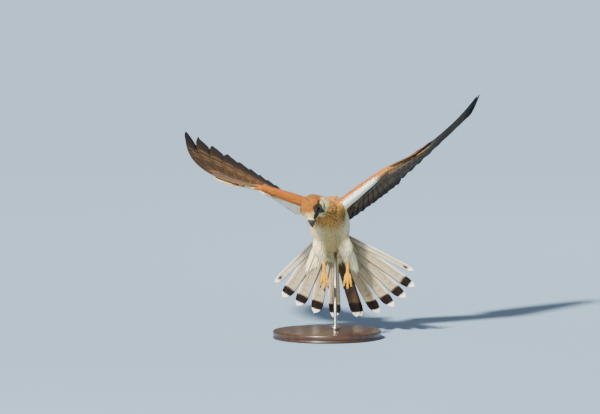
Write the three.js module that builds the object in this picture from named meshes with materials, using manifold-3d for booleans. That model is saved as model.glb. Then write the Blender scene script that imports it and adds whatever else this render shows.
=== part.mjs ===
// A kestrel, life size, hovering with raised wings, a fanned tail and hanging feet, held up by one rod
// on a round base. Millimetres, +Z up. The bird faces -Y, its left wing is on +X, and the origin is the
// centre of the base's underside.
import * as THREE from "three";
import Module from "manifold-3d";

const wasm = await Module();
wasm.setup();

const vec = (x, y, z) => new THREE.Vector3(x, y, z);
const mix = THREE.MathUtils.lerp;
const radians = THREE.MathUtils.degToRad;
const count = (n) => Array.from({ length: n }, (_, i) => i);

// Sizes of the bird, in mm
const GAP = 0.3; // left between touching pieces
const HUMERUS = 46;
const ULNA = 54;
const MANUS = 46;
const PRIMARIES = [153, 163, 175, 188, 203, 220, 238, 251, 253, 240]; // wrist to tip, innermost first
const SECONDARIES = 10;
const SECONDARY_LENGTH = 110; // root to tip
const TAIL_FEATHERS = [152, 153, 151, 148, 144.5, 129]; // from the centre pair outwards
const TARSUS_RADIUS = 2.2;
const MIDDLE_TOE = 22;
const EYE_RADIUS = 6.4;
const VANE = 0.6; // thickness of a feather

// The pose: the main joints and directions
const TAIL_ROOT = vec(5, 37, 155);
const SHOULDERS = vec(-4, -35, 201); // the point midway between them
const HEAD = vec(-21.6, -79.7, 201);
const BILL_WAY = vec(-0.15, -0.381, -0.91);
const HEAD_LEFT = vec(0.73, -0.664, 0.158);
const TAIL_WAY = vec(0.301, 0.353, -0.886);
const TAIL_LEFT = vec(0.909, -0.387, 0.154);
const TAIL_MIDDLE = -1.5; // where the centre pair points, in degrees
const TAIL_SPREAD = { left: 51, right: 54 }; // from the middle to the outermost feather, in degrees
const TAIL_EVENNESS = { left: 0.96, right: 0.85 }; // 1 spaces the feathers evenly, and less opens the middle
const BODY_ROLL = 17; // the belly turned to the bird's left, in degrees

// Base and rod
const BASE_RADIUS = 80;
const BASE_HEIGHT = 12;
const ROD_RADIUS = 2.5;
const ROD_FOOT = vec(12, 6, BASE_HEIGHT);

// Three directions at right angles, from the way forward and a rough way to the left.
function axes(forward, left) {
  const f = forward.clone().normalize();
  const l = left.clone().addScaledVector(f, -left.dot(f)).normalize();
  return { f, l, u: f.clone().cross(l) };
}

// A point from distances along a frame's forward, left and up.
function place(origin, frame, forward, left, up) {
  return origin
    .clone()
    .addScaledVector(frame.f, forward)
    .addScaledVector(frame.l, left)
    .addScaledVector(frame.u, up);
}

// A solid from points and triangles, turned right side out.
function solid(points, triangles) {
  const build = (order) =>
    new wasm.Manifold(
      new wasm.Mesh({
        numProp: 3,
        vertProperties: Float32Array.from(points.flatMap((p) => [p.x, p.y, p.z])),
        triVerts: Uint32Array.from(triangles.flatMap(order)),
      }),
    );
  const made = build((t) => t);
  return made.volume() > 0 ? made : build(([a, b, c]) => [a, c, b]);
}

// A skin over rings of equal count, with a centre point closing each end.
function loft(rings) {
  const n = rings[0].length;
  const middle = (ring) => ring.reduce((sum, p) => sum.add(p), vec(0, 0, 0)).divideScalar(n);
  const points = [...rings.flat(), middle(rings[0]), middle(rings.at(-1))];
  const [head, tail] = [n * rings.length, n * rings.length + 1];
  const last = n * (rings.length - 1);
  const triangles = [];
  for (let i = 0; i < n; i++) {
    const next = (i + 1) % n;
    triangles.push([head, next, i], [tail, last + i, last + next]);
    for (let k = 0; k < last; k += n) {
      triangles.push([k + i, k + next, k + n + next], [k + i, k + n + next, k + n + i]);
    }
  }
  return solid(points, triangles);
}

// An ellipse of points round a centre. The lower half may have its own height.
function ring(centre, across, up, width, height, sides, below = height) {
  return count(sides).map((i) => {
    const angle = (2 * Math.PI * i) / sides;
    const rise = Math.sin(angle);
    return centre
      .clone()
      .addScaledVector(across, width * Math.cos(angle))
      .addScaledVector(up, rise * (rise > 0 ? height : below));
  });
}

// A round limb along a smooth path through points, with a radius at each point.
function limb(points, radii, sides, steps = 3) {
  const curve = new THREE.CatmullRomCurve3(points, false, "centripetal");
  const total = (points.length - 1) * steps;
  const frames = curve.computeFrenetFrames(total, false);
  const rings = count(total + 1).map((k) => {
    const along = k / steps;
    const low = Math.min(Math.floor(along), radii.length - 2);
    const radius = mix(radii[low], radii[low + 1], along - low);
    return ring(curve.getPoint(k / total), frames.normals[k], frames.binormals[k], radius, radius, sides);
  });
  return loft(rings);
}

const join = (solids) => solids.reduce((sum, s) => sum.add(s));

// The largest closed surface of a solid, without loose scraps or sealed hollows.
function largest(made) {
  const bodies = made.decompose();
  return bodies.reduce((best, b) => (b.volume() > best.volume() ? b : best));
}

// A thin plate over two edges of equal count, with the same triangles on both faces.
function plate(first, second, normals, thickness) {
  const rows = first.length;
  const shift = (p, k, way) => p.clone().addScaledVector(normals[k], (way * thickness) / 2);
  const face = (way) => first.flatMap((p, k) => [shift(p, k, way), shift(second[k], k, way)]);
  const points = [...face(1), ...face(-1)];
  const below = 2 * rows;
  const triangles = [];
  for (let k = 0; k < rows - 1; k++) {
    const [a, b, c, d] = [2 * k, 2 * k + 1, 2 * k + 2, 2 * k + 3];
    triangles.push([a, b, d], [a, d, c]);
    triangles.push([below + a, below + d, below + b], [below + a, below + c, below + d]);
    triangles.push([a, c, below + c], [a, below + c, below + a]);
    triangles.push([b, below + d, d], [b, below + b, below + d]);
  }
  const e = below - 2;
  triangles.push([0, below, below + 1], [0, below + 1, 1]);
  triangles.push([e, e + 1, below + e + 1], [e, below + e + 1, below + e]);
  return solid(points, triangles);
}

// Outlines of vanes: how far along, and the share of the full width there
const ROUND_TIP = [[0, 0.35], [0.3, 0.95], [0.88, 0.86], [1, 0.3]];
const SHARP_TIP = [[0, 0.25], [0.25, 0.85], [0.6, 1], [0.88, 0.82], [1, 0.18]];
const SMALL_TIP = [[0, 0.6], [0.7, 1], [1, 0.4]];

// A fan of vanes. Each path gives a point from 0 at its root to 1 at its tip, and the paths run from the
// innermost to the leading feather. side is 1 on the left and -1 on the right. A tilt lifts each leading
// edge, so that every vane lies over the next one out, a rise lifts the whole fan, and a layer lifts each
// vane above the one after it.
function fan(paths, { side, lead, trail, tilt, outline, rise = 0, layer = 0 }) {
  const slope = radians(tilt);
  return paths.map((path, i) => {
    const before = paths[Math.max(i - 1, 0)];
    const after = paths[Math.min(i + 1, paths.length - 1)];
    const [leading, trailing, normals] = [[], [], []];
    for (const [s, share] of outline) {
      const way = path(Math.min(s + 0.05, 1)).sub(path(Math.max(s - 0.05, 0))).normalize();
      const out = after(s).sub(before(s));
      out.addScaledVector(way, -out.dot(way)).normalize();
      const up = out.clone().cross(way).multiplyScalar(side);
      const edge = out.clone().multiplyScalar(Math.cos(slope)).addScaledVector(up, Math.sin(slope));
      const centre = path(s).addScaledVector(up, rise + layer * (paths.length - 1 - i));
      leading.push(centre.clone().addScaledVector(edge, lead * share));
      trailing.push(centre.clone().addScaledVector(edge, -trail * share));
      normals.push(up.multiplyScalar(Math.cos(slope)).addScaledVector(out, -Math.sin(slope)));
    }
    return plate(leading, trailing, normals, VANE);
  });
}

// A path from root to tip that bows to one side by a vector at its middle.
const bowed = (root, tip, bow) => (s) =>
  root.clone().lerp(tip, s).addScaledVector(bow, 4 * s * (1 - s));

// The trunk: distance along the spine from the tail's root, half width, height above and depth below it
const TRUNK = [
  [-14, 14, 6, 23],
  [-4, 22, 9, 37],
  [10, 29.5, 12, 44],
  [28, 33, 13, 45],
  [50, 32, 13, 43],
  [68, 31, 12, 39],
  [82, 29, 11, 34],
  [92, 24, 9, 29],
];
const SPINE = SHOULDERS.clone().sub(TAIL_ROOT);
const trunkAxes = axes(SPINE, vec(1, -0.08, Math.tan(radians(BODY_ROLL))));

function trunk(grow = 0) {
  return loft(
    TRUNK.map(([along, width, above, below]) =>
      ring(
        place(TAIL_ROOT, trunkAxes, along, 0, (above - below) / 2),
        trunkAxes.l, trunkAxes.u, width + grow, (above + below) / 2 + grow, 22,
      ),
    ),
  );
}

// The head: distance forward from its centre, half width, height above and below
const SKULL = [
  [-18, 7, 6, 8],
  [-14, 13, 12, 13],
  [-6, 17.5, 16.5, 16],
  [3, 18, 17, 15],
  [10, 15.5, 14, 12.5],
  [16, 10.5, 9.5, 9],
  [19.5, 6.5, 6, 6.5],
];
const headAxes = axes(BILL_WAY, HEAD_LEFT);
const inHead = (forward, left, up) => place(HEAD, headAxes, forward, left, up);
const EYE = { forward: 6, left: 11.2, up: 3 };

function skull(grow = 0) {
  return loft(
    SKULL.map(([along, width, above, below]) =>
      ring(inHead(along, 0, 0), headAxes.l, headAxes.u, width + grow, above + grow, 24, below + grow),
    ),
  );
}

function ball(centre, radius, width, height) {
  const sphere = new THREE.SphereGeometry(radius, width, height);
  const position = sphere.attributes.position;
  const points = [];
  const triangles = [];
  const index = sphere.index.array;
  const keys = new Map();
  const own = count(position.count).map((i) => {
    const p = vec(position.getX(i), position.getY(i), position.getZ(i));
    const key = p.toArray().map((x) => Math.round(x * 1e4)).join();
    if (!keys.has(key)) {
      keys.set(key, points.length);
      points.push(p.add(centre));
    }
    return keys.get(key);
  });
  for (let i = 0; i < index.length; i += 3) {
    const t = [own[index[i]], own[index[i + 1]], own[index[i + 2]]];
    if (new Set(t).size === 3) triangles.push(t);
  }
  return solid(points, triangles);
}

function eye(side, radius) {
  return ball(inHead(EYE.forward, side * EYE.left, EYE.up), radius, 12, 8);
}

// The brow and lids: a rim round each eye, deeper above it
function lids(side) {
  const centre = inHead(EYE.forward, side * (EYE.left + 4.2), EYE.up);
  const outward = headAxes.l.clone().multiplyScalar(side).addScaledVector(headAxes.f, 0.35).normalize();
  const along = headAxes.f.clone().addScaledVector(outward, -headAxes.f.dot(outward)).normalize();
  const over = outward.clone().cross(along).normalize();
  const rim = count(14).map((i) => {
    const angle = (2 * Math.PI * i) / 14;
    const way = along.clone().multiplyScalar(Math.cos(angle)).addScaledVector(over, Math.sin(angle));
    return ring(centre.clone().addScaledVector(way, 5.4), way, outward, 1, 1.1, 5);
  });
  return closedLoop(rim);
}

// A skin over rings that come back to the first one.
function closedLoop(rings) {
  const n = rings[0].length;
  const triangles = [];
  rings.forEach((_, k) => {
    const after = ((k + 1) % rings.length) * n;
    for (let i = 0; i < n; i++) {
      const next = (i + 1) % n;
      triangles.push([k * n + i, k * n + next, after + next], [k * n + i, after + next, after + i]);
    }
  });
  return solid(rings.flat(), triangles);
}

// The bill: distance forward from the head's centre, drop of the centre, half width, half height
const UPPER_BILL = [
  [15, 1, 5.6, 5],
  [19, 0.6, 5.2, 5],
  [22, 1, 4.4, 4.4],
  [25, 2.2, 3.3, 3.6],
  [27.5, 4.2, 2.2, 2.8],
  [29, 6.6, 1.3, 2],
  [29.2, 9, 0.5, 0.8],
];
const LOWER_BILL = [
  [14, 6.4, 5, 2.2],
  [19, 6.4, 4.4, 2],
  [23, 6.8, 3.2, 1.7],
  [26.4, 7, 1.6, 1.1],
];

function bill(stations, grow = 0) {
  return loft(
    stations.map(([along, drop, width, height]) =>
      ring(inHead(along, 0, -drop), headAxes.l, headAxes.u, width + grow, height + grow, 14),
    ),
  );
}

// Two blind nostrils in the cere
function nostrils() {
  return [-1, 1].map((side) => ball(inHead(20, side * 5.4, 0.4), 1, 8, 6));
}

// The neck, from inside the trunk's front end to inside the head
function neck() {
  const points = [
    place(TAIL_ROOT, trunkAxes, 78, 0, -9),
    place(TAIL_ROOT, trunkAxes, 94, 0, -12),
    inHead(-6, 0, -8),
    inHead(1, 0, -5),
  ];
  return limb(points, [20, 18, 15, 13], 14, 2);
}

// A wing's section: how far back along its chord, and how high over its depth
const SECTION = [
  [0, 0],
  [0.08, 0.34],
  [0.3, 0.5],
  [0.65, 0.32],
  [1, 0.07],
  [1, -0.07],
  [0.6, -0.22],
  [0.25, -0.42],
  [0.06, -0.3],
];

// Each wing's joints and the ways its chord and feathers point. pitch tilts the primaries, in degrees, and
// droop is how far the lining's tips hang.
const WINGS = {
  right: {
    side: -1,
    shoulder: vec(-27, -33, 201),
    wrist: vec(-96, -71, 228),
    hand: vec(-0.86, 0.5, 0.1),
    chord: { inner: vec(0.1, 0.96, -0.22), outer: vec(0.02, 0.99, -0.1) },
    primaries: { first: vec(0.14, 0.99, -0.06), last: vec(-0.453, 0.855, 0.262) },
    secondaries: { first: vec(0.16, 0.98, -0.12), last: vec(0.34, 0.92, -0.23) },
    bow: vec(-21, -9, -7),
    pitch: 8,
    droop: { inner: 24, outer: 4 },
  },
  left: {
    side: 1,
    shoulder: vec(22, -37, 201),
    wrist: vec(86.5, -38, 252),
    hand: vec(0.86, 0.32, 0.4),
    chord: { inner: vec(0, 0.93, -0.36), outer: vec(0.1, 0.97, -0.22) },
    primaries: { first: vec(0.199, 0.97, -0.11), last: vec(0.562, 0.73, 0.386) },
    secondaries: { first: vec(0.21, 0.95, -0.24), last: vec(-0.22, 0.86, -0.48) },
    bow: vec(5, -5, -2),
    pitch: 13,
    droop: { inner: 8, outer: 4 },
  },
};

// A vector turned evenly from one direction to another, by a share from 0 to 1.
function between(first, last, share) {
  const angle = first.angleTo(last);
  const axis = first.clone().cross(last).normalize();
  return first.clone().normalize().applyAxisAngle(axis, angle * share);
}

// The flesh of a wing along one bone line, from its leading edge back.
function wingCore(from, to, chords, side, lengths, depths) {
  const span = to.clone().sub(from);
  const steps = lengths.length - 1;
  const rings = lengths.map((length, k) => {
    const chord = between(chords.inner, chords.outer, k / steps);
    const up = span.clone().cross(chord).normalize().multiplyScalar(side);
    const front = from.clone().addScaledVector(span, k / steps).addScaledVector(chord, -length * 0.25);
    return SECTION.map(([back, high]) =>
      front.clone().addScaledVector(chord, back * length).addScaledVector(up, high * depths[k]),
    );
  });
  return loft(rings);
}

function wing(spec) {
  const { side, shoulder, wrist, primaries, secondaries, chord, pitch, droop } = spec;
  const span = wrist.clone().sub(shoulder);
  const reach = span.length();
  const foot = (reach * reach + HUMERUS * HUMERUS - ULNA * ULNA) / (2 * reach);
  const behind = Math.sqrt(HUMERUS * HUMERUS - foot * foot);
  const elbow = shoulder
    .clone()
    .addScaledVector(span, foot / reach)
    .addScaledVector(between(chord.inner, chord.outer, 0.4), behind);
  const ulna = elbow.clone().sub(wrist);
  const handTip = wrist.clone().addScaledVector(spec.hand.clone().normalize(), MANUS);

  const last = PRIMARIES.length - 1;
  const primaryRoot = (i) => wrist.clone().lerp(handTip, 0.06 + (0.86 * i) / last);
  // The outermost primary lies close to the one before it.
  const primaryWay = (i) => between(primaries.first, primaries.last, Math.min(i / (last - 1), 1.03));
  const primary = (i) => {
    const tip = wrist.clone().addScaledVector(primaryWay(i), PRIMARIES[i]);
    return bowed(primaryRoot(i), tip, spec.bow.clone().multiplyScalar((i + 2) / (last + 2)));
  };
  const secondaryRoot = (i) => wrist.clone().addScaledVector(ulna, (i + 0.7) / SECONDARIES);
  const secondary = (i) => {
    const way = between(secondaries.first, secondaries.last, i / (SECONDARIES - 1));
    const length = SECONDARY_LENGTH * (i < SECONDARIES ? 1 : 1 - 0.13 * (i - SECONDARIES + 1));
    const root = secondaryRoot(i);
    return bowed(root, root.clone().addScaledVector(way, length), vec(0, 0, 4));
  };
  // Innermost first: the tertials come before the secondaries.
  const inner = count(SECONDARIES + 3).reverse();
  const outer = count(PRIMARIES.length);

  const quills = inner.map(secondary);
  const blades = outer.map(primary);
  const over = (paths, share) => paths.map((path) => (s) => path(s * share));
  // The lining lies on every other feather, and its tips hang lower towards the body.
  const lining = (paths, share, hang) => {
    const alternate = paths.filter((_, i) => i % 2 === 1);
    return alternate.map((path, i) => {
      const low = mix(hang.inner, hang.outer, i / (alternate.length - 1));
      return (s) => path(s * share).add(vec(0, 0, -low * s));
    });
  };
  const small = { side, lead: 6, trail: 9, tilt: 9, outline: SMALL_TIP };
  const pitched = { ...small, tilt: pitch };
  const alula = count(3).map((i) => {
    const root = primaryRoot(2 + i).addScaledVector(chord.outer, -4);
    const way = between(spec.hand, primaries.last, 0.3 - 0.1 * i);
    return bowed(root, root.clone().addScaledVector(way, 38 - 5 * i), vec(0, 0, 0));
  });

  const handChords = { inner: chord.outer, outer: primaries.last };
  const arm = [
    wingCore(shoulder, wrist, chord, side, [50, 46, 42, 36, 30], [20, 20, 18, 15, 11]),
    ...fan(quills, { side, lead: 6, trail: 12, tilt: 11, outline: ROUND_TIP }),
    ...fan(over(quills, 0.42), { ...small, rise: 3 }),
    ...fan(lining(quills, 0.36, droop), { ...small, lead: 9, rise: -2 }),
  ];
  const hand = [
    wingCore(wrist, handTip, handChords, side, [30, 24, 16, 8], [10, 9, 7, 4]),
    ...fan(blades, { side, lead: 6, trail: 20, tilt: pitch, outline: SHARP_TIP }),
    ...fan(over(blades, 0.3), { ...pitched, rise: 2.6 }),
    ...fan(lining(blades, 0.26, { inner: droop.outer, outer: 0 }), { ...pitched, lead: 8, rise: -3.4 }),
    ...fan(alula, { ...pitched, lead: 3, trail: 5, rise: 2 }),
  ];
  const cut = primaryWay(0).add(secondaries.first).normalize();
  return { arm: join(arm), hand: join(hand), cut };
}

// A long box centred on a plane through a point, to part two pieces: it spans both directions given.
function slab(centre, way, other, thickness, reach) {
  const normal = way.clone().cross(other).normalize();
  const rings = [-1, 1].map((end) =>
    [[-1, -1], [1, -1], [1, 1], [-1, 1]].map(([a, b]) =>
      centre
        .clone()
        .addScaledVector(way, a * reach)
        .addScaledVector(other, b * reach)
        .addScaledVector(normal, (end * thickness) / 2),
    ),
  );
  return loft(rings);
}

// The flesh that holds the tail: distance along it, half width, and depth on the upper and the underside
const TAIL_BLOCK = [
  [-16, 14, 9, 10],
  [-6, 17, 11.5, 13],
  [6, 18, 11.5, 14],
  [20, 17, 8, 14],
  [40, 12, 4, 8],
];
const ROOT_SPAN = 10; // half the breadth over which the tail feathers spring
const LAYER = 0.95; // from one tail feather to the next that lies over it

// The tail: feathers in layers, the centre pair on top, and coverts over and under their roots. The frame's
// up points to the underside, as it runs from the root back.
function tailFan() {
  const tail = axes(TAIL_WAY, TAIL_LEFT);
  const half = TAIL_FEATHERS.length;
  const feather = (side, i, length, steps = half) => {
    const name = side > 0 ? "left" : "right";
    const share = ((i + 0.08) / (steps - 0.92)) ** TAIL_EVENNESS[name];
    const angle = radians(TAIL_MIDDLE + side * TAIL_SPREAD[name] * share);
    const root = place(TAIL_ROOT, tail, 0, (side * ROOT_SPAN * (i + 0.5)) / half, 0);
    const tip = place(root, tail, length * Math.cos(angle), length * Math.sin(angle), 0);
    return bowed(root, tip, vec(0, 0, 0));
  };
  const sides = [-1, 1];
  const vanes = sides.flatMap((side) => {
    const paths = TAIL_FEATHERS.map((length, i) => feather(side, i, length));
    // The layers go down from the centre, and the right centre feather lies lowest of its pair.
    const options = { side, lead: 6, trail: 12, tilt: 0, outline: ROUND_TIP };
    return fan(paths, { ...options, layer: LAYER, rise: side > 0 ? LAYER : 0 });
  });
  const coverts = sides.flatMap((side) => {
    const paths = (length) => count(4).map((i) => feather(side, i, length - 3 * i, 4));
    const options = { side, lead: 9, trail: 10, tilt: 0, outline: SMALL_TIP };
    const top = half * LAYER + 0.8;
    return [
      ...fan(paths(46), { ...options, layer: LAYER, rise: side > 0 ? top + LAYER : top }),
      ...fan(paths(58), { ...options, layer: -LAYER, rise: side > 0 ? -1.3 : -1.3 - LAYER }),
    ];
  });
  const block = loft(
    TAIL_BLOCK.map(([along, width, above, below]) =>
      ring(place(TAIL_ROOT, tail, along, 0, 0), tail.l, tail.u, width, below, 16, above),
    ),
  );
  return join([block, ...vanes, ...coverts]);
}

// A leg: thigh from the flank to the ankle, tarsus to the foot, toes and claws
const LEGS = {
  right: {
    side: -1,
    knee: vec(-8, 0, 150),
    hip: vec(-11, 2, 134),
    ankle: vec(-4.7, 13, 111),
    foot: vec(-4.4, -18, 97),
  },
  left: {
    side: 1,
    knee: vec(22, -5, 150),
    hip: vec(27, -4, 134),
    ankle: vec(30, 9, 112),
    foot: vec(30, -22, 97),
  },
};
const PLUMES = 4; // long loose feathers at the back of each thigh
const PLUME_REACH = { out: 21, back: 18, down: 17 }; // from the ankle to the outermost plume's tip

const solids = new Map();

function leg(name, spec) {
  const { side, knee, hip, ankle, foot } = spec;
  const thigh = limb(
    [knee, hip, hip.clone().lerp(ankle, 0.55), ankle.clone().add(vec(0, 0, -3))],
    [7, 12, 9.5, 4.5], 12, 2,
  );
  const plumes = count(PLUMES).map((i) => {
    const turn = i / (PLUMES - 1) - 0.5;
    const root = hip.clone().lerp(ankle, 0.25).add(vec(side * (7 + 2 * turn), 2 + 9 * turn, 4 * turn));
    const { out, back, down } = PLUME_REACH;
    const short = i / PLUMES;
    const tip = ankle.clone().add(vec(side * (out - 12 * short), back + 9 * short, 7 * short - down));
    return bowed(root, tip, vec(side * 3, 0, 0));
  });
  const bones = [-0.1, 0.5, 1].map((share) => ankle.clone().lerp(foot, share));
  const shank = (grow) => limb(bones, [3.4, TARSUS_RADIUS, 2.8].map((r) => r + grow), 12);
  // Three toes hang forward and one behind. turn is outward and lean forward, as shares of a toe's reach.
  const toes = [
    { turn: 0, lean: 0.3, reach: 1, start: vec(0, -1.5, 0) },
    { turn: -0.17, lean: 0.2, reach: 0.78, start: vec(-2.4, -0.8, 0) },
    { turn: 0.17, lean: 0.2, reach: 0.82, start: vec(2.4, -0.8, 0) },
    { turn: 0.16 * side, lean: -0.45, reach: 0.55, start: vec(0.8 * side, 2.2, 0) },
  ];
  const toePoints = ({ turn, lean, reach, start }) =>
    [0, 0.5, 1].map((s) => {
      const curl = 3 * Math.sin(Math.PI * s) * Math.sign(lean);
      const way = vec(turn, -lean, -Math.sqrt(1 - turn * turn - lean * lean));
      return foot
        .clone()
        .add(start)
        .addScaledVector(way, s * reach * MIDDLE_TOE)
        .add(vec(0, -curl, 0));
    });
  const claws = toes.map((toe) => {
    const [, middle, tip] = toePoints(toe);
    const on = tip.clone().sub(middle).normalize();
    const back = vec(0, Math.sign(toe.lean), 0);
    const along = (forward, curl) =>
      tip.clone().addScaledVector(on, forward).addScaledVector(back, curl);
    return limb([along(-0.6, 0), along(3, 0.6), along(5.6, 3)], [1.5, 1.1, 0.3], 5, 2);
  });
  const footSolid = (grow) =>
    join([
      ball(foot, 3.6 + grow, 10, 6),
      ...toes.map((toe) => limb(toePoints(toe), [2.1, 1.8, 1.6].map((r) => r + grow), 6, 2)),
    ]);
  const grownFoot = footSolid(GAP);
  solids.set("tarsus_" + name, shank(0).subtract(grownFoot));
  solids.set("foot_" + name, footSolid(0));
  claws.forEach((claw, i) => solids.set("claw_" + name + "_" + (i + 1), claw.subtract(grownFoot)));
  const plumage = fan(plumes, { side: -side, lead: 4, trail: 5, tilt: 12, outline: SMALL_TIP });
  return { thigh: join([thigh, ...plumage]), shank };
}

const disc = (radius, from, to, bevel, sides) =>
  loft(
    [
      [from, radius - bevel],
      [from + bevel, radius],
      [to - bevel, radius],
      [to, radius - bevel],
    ].map(([z, r]) => ring(vec(0, 0, z), vec(1, 0, 0), vec(0, 1, 0), r, r, sides)),
  );

const rod = (radius, from, to) =>
  loft(
    [from, to].map((z) =>
      ring(vec(ROD_FOOT.x, ROD_FOOT.y, z), vec(1, 0, 0), vec(0, 1, 0), radius, radius, 24),
    ),
  );

// Assembly: what lies deeper keeps its shape, and what grows from it is cut back by the gap.
const body = trunk();
const grownBody = trunk(GAP);
const grownSkull = skull(GAP);
const sockets = join([-1, 1].map((side) => eye(side, EYE_RADIUS + GAP)));
const headSolid = join([skull(), lids(-1), lids(1)]).subtract(sockets);
const upper = bill(UPPER_BILL).subtract(grownSkull);
solids.set("torso", body);
solids.set("head", headSolid);
solids.set("eye_left", eye(1, EYE_RADIUS));
solids.set("eye_right", eye(-1, EYE_RADIUS));
solids.set("bill_upper", nostrils().reduce((made, n) => made.subtract(n), upper));
solids.set("bill_lower", bill(LOWER_BILL).subtract(grownSkull).subtract(bill(UPPER_BILL, GAP)));
solids.set("neck", neck().subtract(grownBody).subtract(grownSkull).subtract(sockets));

const REACH = 400; // of the block that parts an arm from its hand
for (const [name, spec] of Object.entries(WINGS)) {
  const { arm, hand, cut } = wing(spec);
  const dorsal = spec.wrist.clone().sub(spec.shoulder).cross(cut).normalize();
  const outward = cut.clone().cross(dorsal).normalize();
  if (outward.dot(spec.hand) < 0) outward.negate();
  const block = (way) =>
    slab(
      spec.wrist.clone().addScaledVector(outward, (way * (REACH - GAP)) / 2),
      cut, dorsal, REACH, REACH,
    );
  solids.set("wing_" + name + "_arm", largest(arm.subtract(block(1)).subtract(grownBody)));
  solids.set("wing_" + name + "_hand", largest(hand.subtract(block(-1))));
}

const legs = Object.entries(LEGS).map(([name, spec]) => [name, leg(name, spec)]);
for (const [name, { thigh, shank }] of legs) {
  solids.set("thigh_" + name, thigh.subtract(grownBody).subtract(shank(GAP)));
}
solids.set("tail", largest(tailFan().subtract(grownBody)));
solids.set("stand_base", disc(BASE_RADIUS, 0, BASE_HEIGHT, 2, 48));
solids.set("stand_rod", largest(rod(ROD_RADIUS, BASE_HEIGHT + GAP, 175).subtract(grownBody)));

const material = (color, roughness, metalness = 0) =>
  new THREE.MeshStandardMaterial({ color, roughness, metalness });
const FINISH = {
  eye: [0x14100c, 0.15],
  bill: [0x4a4f55, 0.4],
  claw: [0x1a1715, 0.4],
  tarsus: [0xe0a030, 0.6],
  foot: [0xe0a030, 0.6],
  thigh: [0xefe6d0, 0.85],
  torso: [0xe6dcc6, 0.85],
  neck: [0xd8b080, 0.85],
  head: [0xcf8a48, 0.85],
  wing: [0xc98650, 0.85],
  tail: [0xcfc6b6, 0.85],
  stand_base: [0x3a2a1e, 0.5],
  stand_rod: [0xb8b8b8, 0.35, 1],
};

function mesh(name, made) {
  const { vertProperties, triVerts } = made.getMesh();
  const geometry = new THREE.BufferGeometry();
  geometry.setAttribute("position", new THREE.BufferAttribute(Float32Array.from(vertProperties), 3));
  geometry.setIndex(new THREE.BufferAttribute(Uint32Array.from(triVerts), 1));
  geometry.computeVertexNormals();
  const key = Object.keys(FINISH).find((start) => name.startsWith(start));
  const made3 = new THREE.Mesh(geometry, material(...FINISH[key]));
  made3.name = name;
  return made3;
}

const group = new THREE.Group();
for (const [name, made] of solids) group.add(mesh(name, largest(made)));

export default group;
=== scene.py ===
import math

import bmesh
import bpy
import numpy as np
from mathutils.bvhtree import BVHTree
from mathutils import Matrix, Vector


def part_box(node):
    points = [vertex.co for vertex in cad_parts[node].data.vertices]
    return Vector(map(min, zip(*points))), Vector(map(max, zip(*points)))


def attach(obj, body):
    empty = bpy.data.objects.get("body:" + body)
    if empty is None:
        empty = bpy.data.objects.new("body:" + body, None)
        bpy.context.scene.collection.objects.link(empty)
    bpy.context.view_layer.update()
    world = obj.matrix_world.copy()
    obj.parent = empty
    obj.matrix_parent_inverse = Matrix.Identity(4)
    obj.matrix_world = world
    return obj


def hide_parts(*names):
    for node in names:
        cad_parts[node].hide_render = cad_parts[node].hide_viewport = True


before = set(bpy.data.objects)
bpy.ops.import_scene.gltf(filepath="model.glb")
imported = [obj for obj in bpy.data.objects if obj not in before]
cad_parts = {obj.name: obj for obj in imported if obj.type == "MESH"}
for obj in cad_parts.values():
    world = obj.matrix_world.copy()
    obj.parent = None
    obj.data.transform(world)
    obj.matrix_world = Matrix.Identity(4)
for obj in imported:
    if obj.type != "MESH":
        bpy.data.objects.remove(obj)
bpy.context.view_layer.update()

# A kestrel hovering on a display stand. Lengths are in millimetres until a mesh is made, +Z is up, the bird
# faces -Y and its left wing is on +X.
mm = 0.001
draw = np.random.default_rng(11)  # every random value comes from here, in the order of the making

# The pose, the same joints and directions that the solids are built on
pose = {
    "tailRoot": (5, 37, 155),
    "shoulders": (-4, -35, 201),
    "head": (-21.6, -79.7, 201),
    "billWay": (-0.15, -0.381, -0.91),
    "headLeft": (0.73, -0.664, 0.158),
    "tailWay": (0.301, 0.353, -0.886),
    "tailLeft": (0.909, -0.387, 0.154),
    "bodyRoll": 17,
}


# A place, a direction or a row of numbers as an array.
def vec(*values):
    return np.array(values, float)


# A vector scaled to length one.
def unit(v):
    v = np.asarray(v, float)
    return v / np.maximum(np.linalg.norm(v, axis=-1, keepdims=True), 1e-12)


# A place or colour moved towards another: a + (b - a) share.
def towards(a, b, share):
    return a + (np.asarray(b) - a) * np.asarray(share)[..., None]


# Three rows at right angles: forward, left and forward x left.
def axes(forward, left):
    f = unit(forward)
    left = np.asarray(left, float)
    l = unit(left - f * (f @ left))
    return np.stack([f, l, np.cross(f, l)])


# One direction turned evenly towards another, by shares from 0 to 1: a great circle between the two.
def turned(first, last, share):
    a, b = unit(first), unit(last)
    angle = math.acos(float(np.clip(a @ b, -1, 1)))
    share = np.asarray(share, float)[..., None]
    return (np.sin((1 - share) * angle) * a + np.sin(share * angle) * b) / math.sin(angle)


# A smooth step from 0 below the first value to 1 above the second.
def ramp(x, low, high):
    t = np.clip((x - low) / (high - low), 0, 1)
    return t * t * (3 - 2 * t)


# Values read between stations by a cubic through them, at evenly spaced places.
def eased(stations, count):
    p = np.asarray(stations, float)
    if p.ndim == 1:
        return eased(p[:, None], count)[:, 0]
    n = len(p)
    at = np.linspace(0, n - 1, count)
    i = np.clip(at.astype(int), 0, n - 2)
    t = (at - i)[:, None]
    p0, p1, p2, p3 = (p[np.clip(i + k, 0, n - 1)] for k in (-1, 0, 1, 2))
    p0 = np.where((i == 0)[:, None], 2 * p1 - p2, p0)
    p3 = np.where((i == n - 2)[:, None], 2 * p2 - p1, p3)
    return 0.5 * (2 * p1 + (p2 - p0) * t + (2 * p0 - 5 * p1 + 4 * p2 - p3) * t**2
                  + (3 * p1 - p0 - 3 * p2 + p3) * t**3)


# Places from 0 to 1 along a vane, closer together near its tip as the power grows.
def steps(rows, crowd=1.0):
    return 1 - (1 - np.linspace(0, 1, rows)) ** crowd


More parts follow.
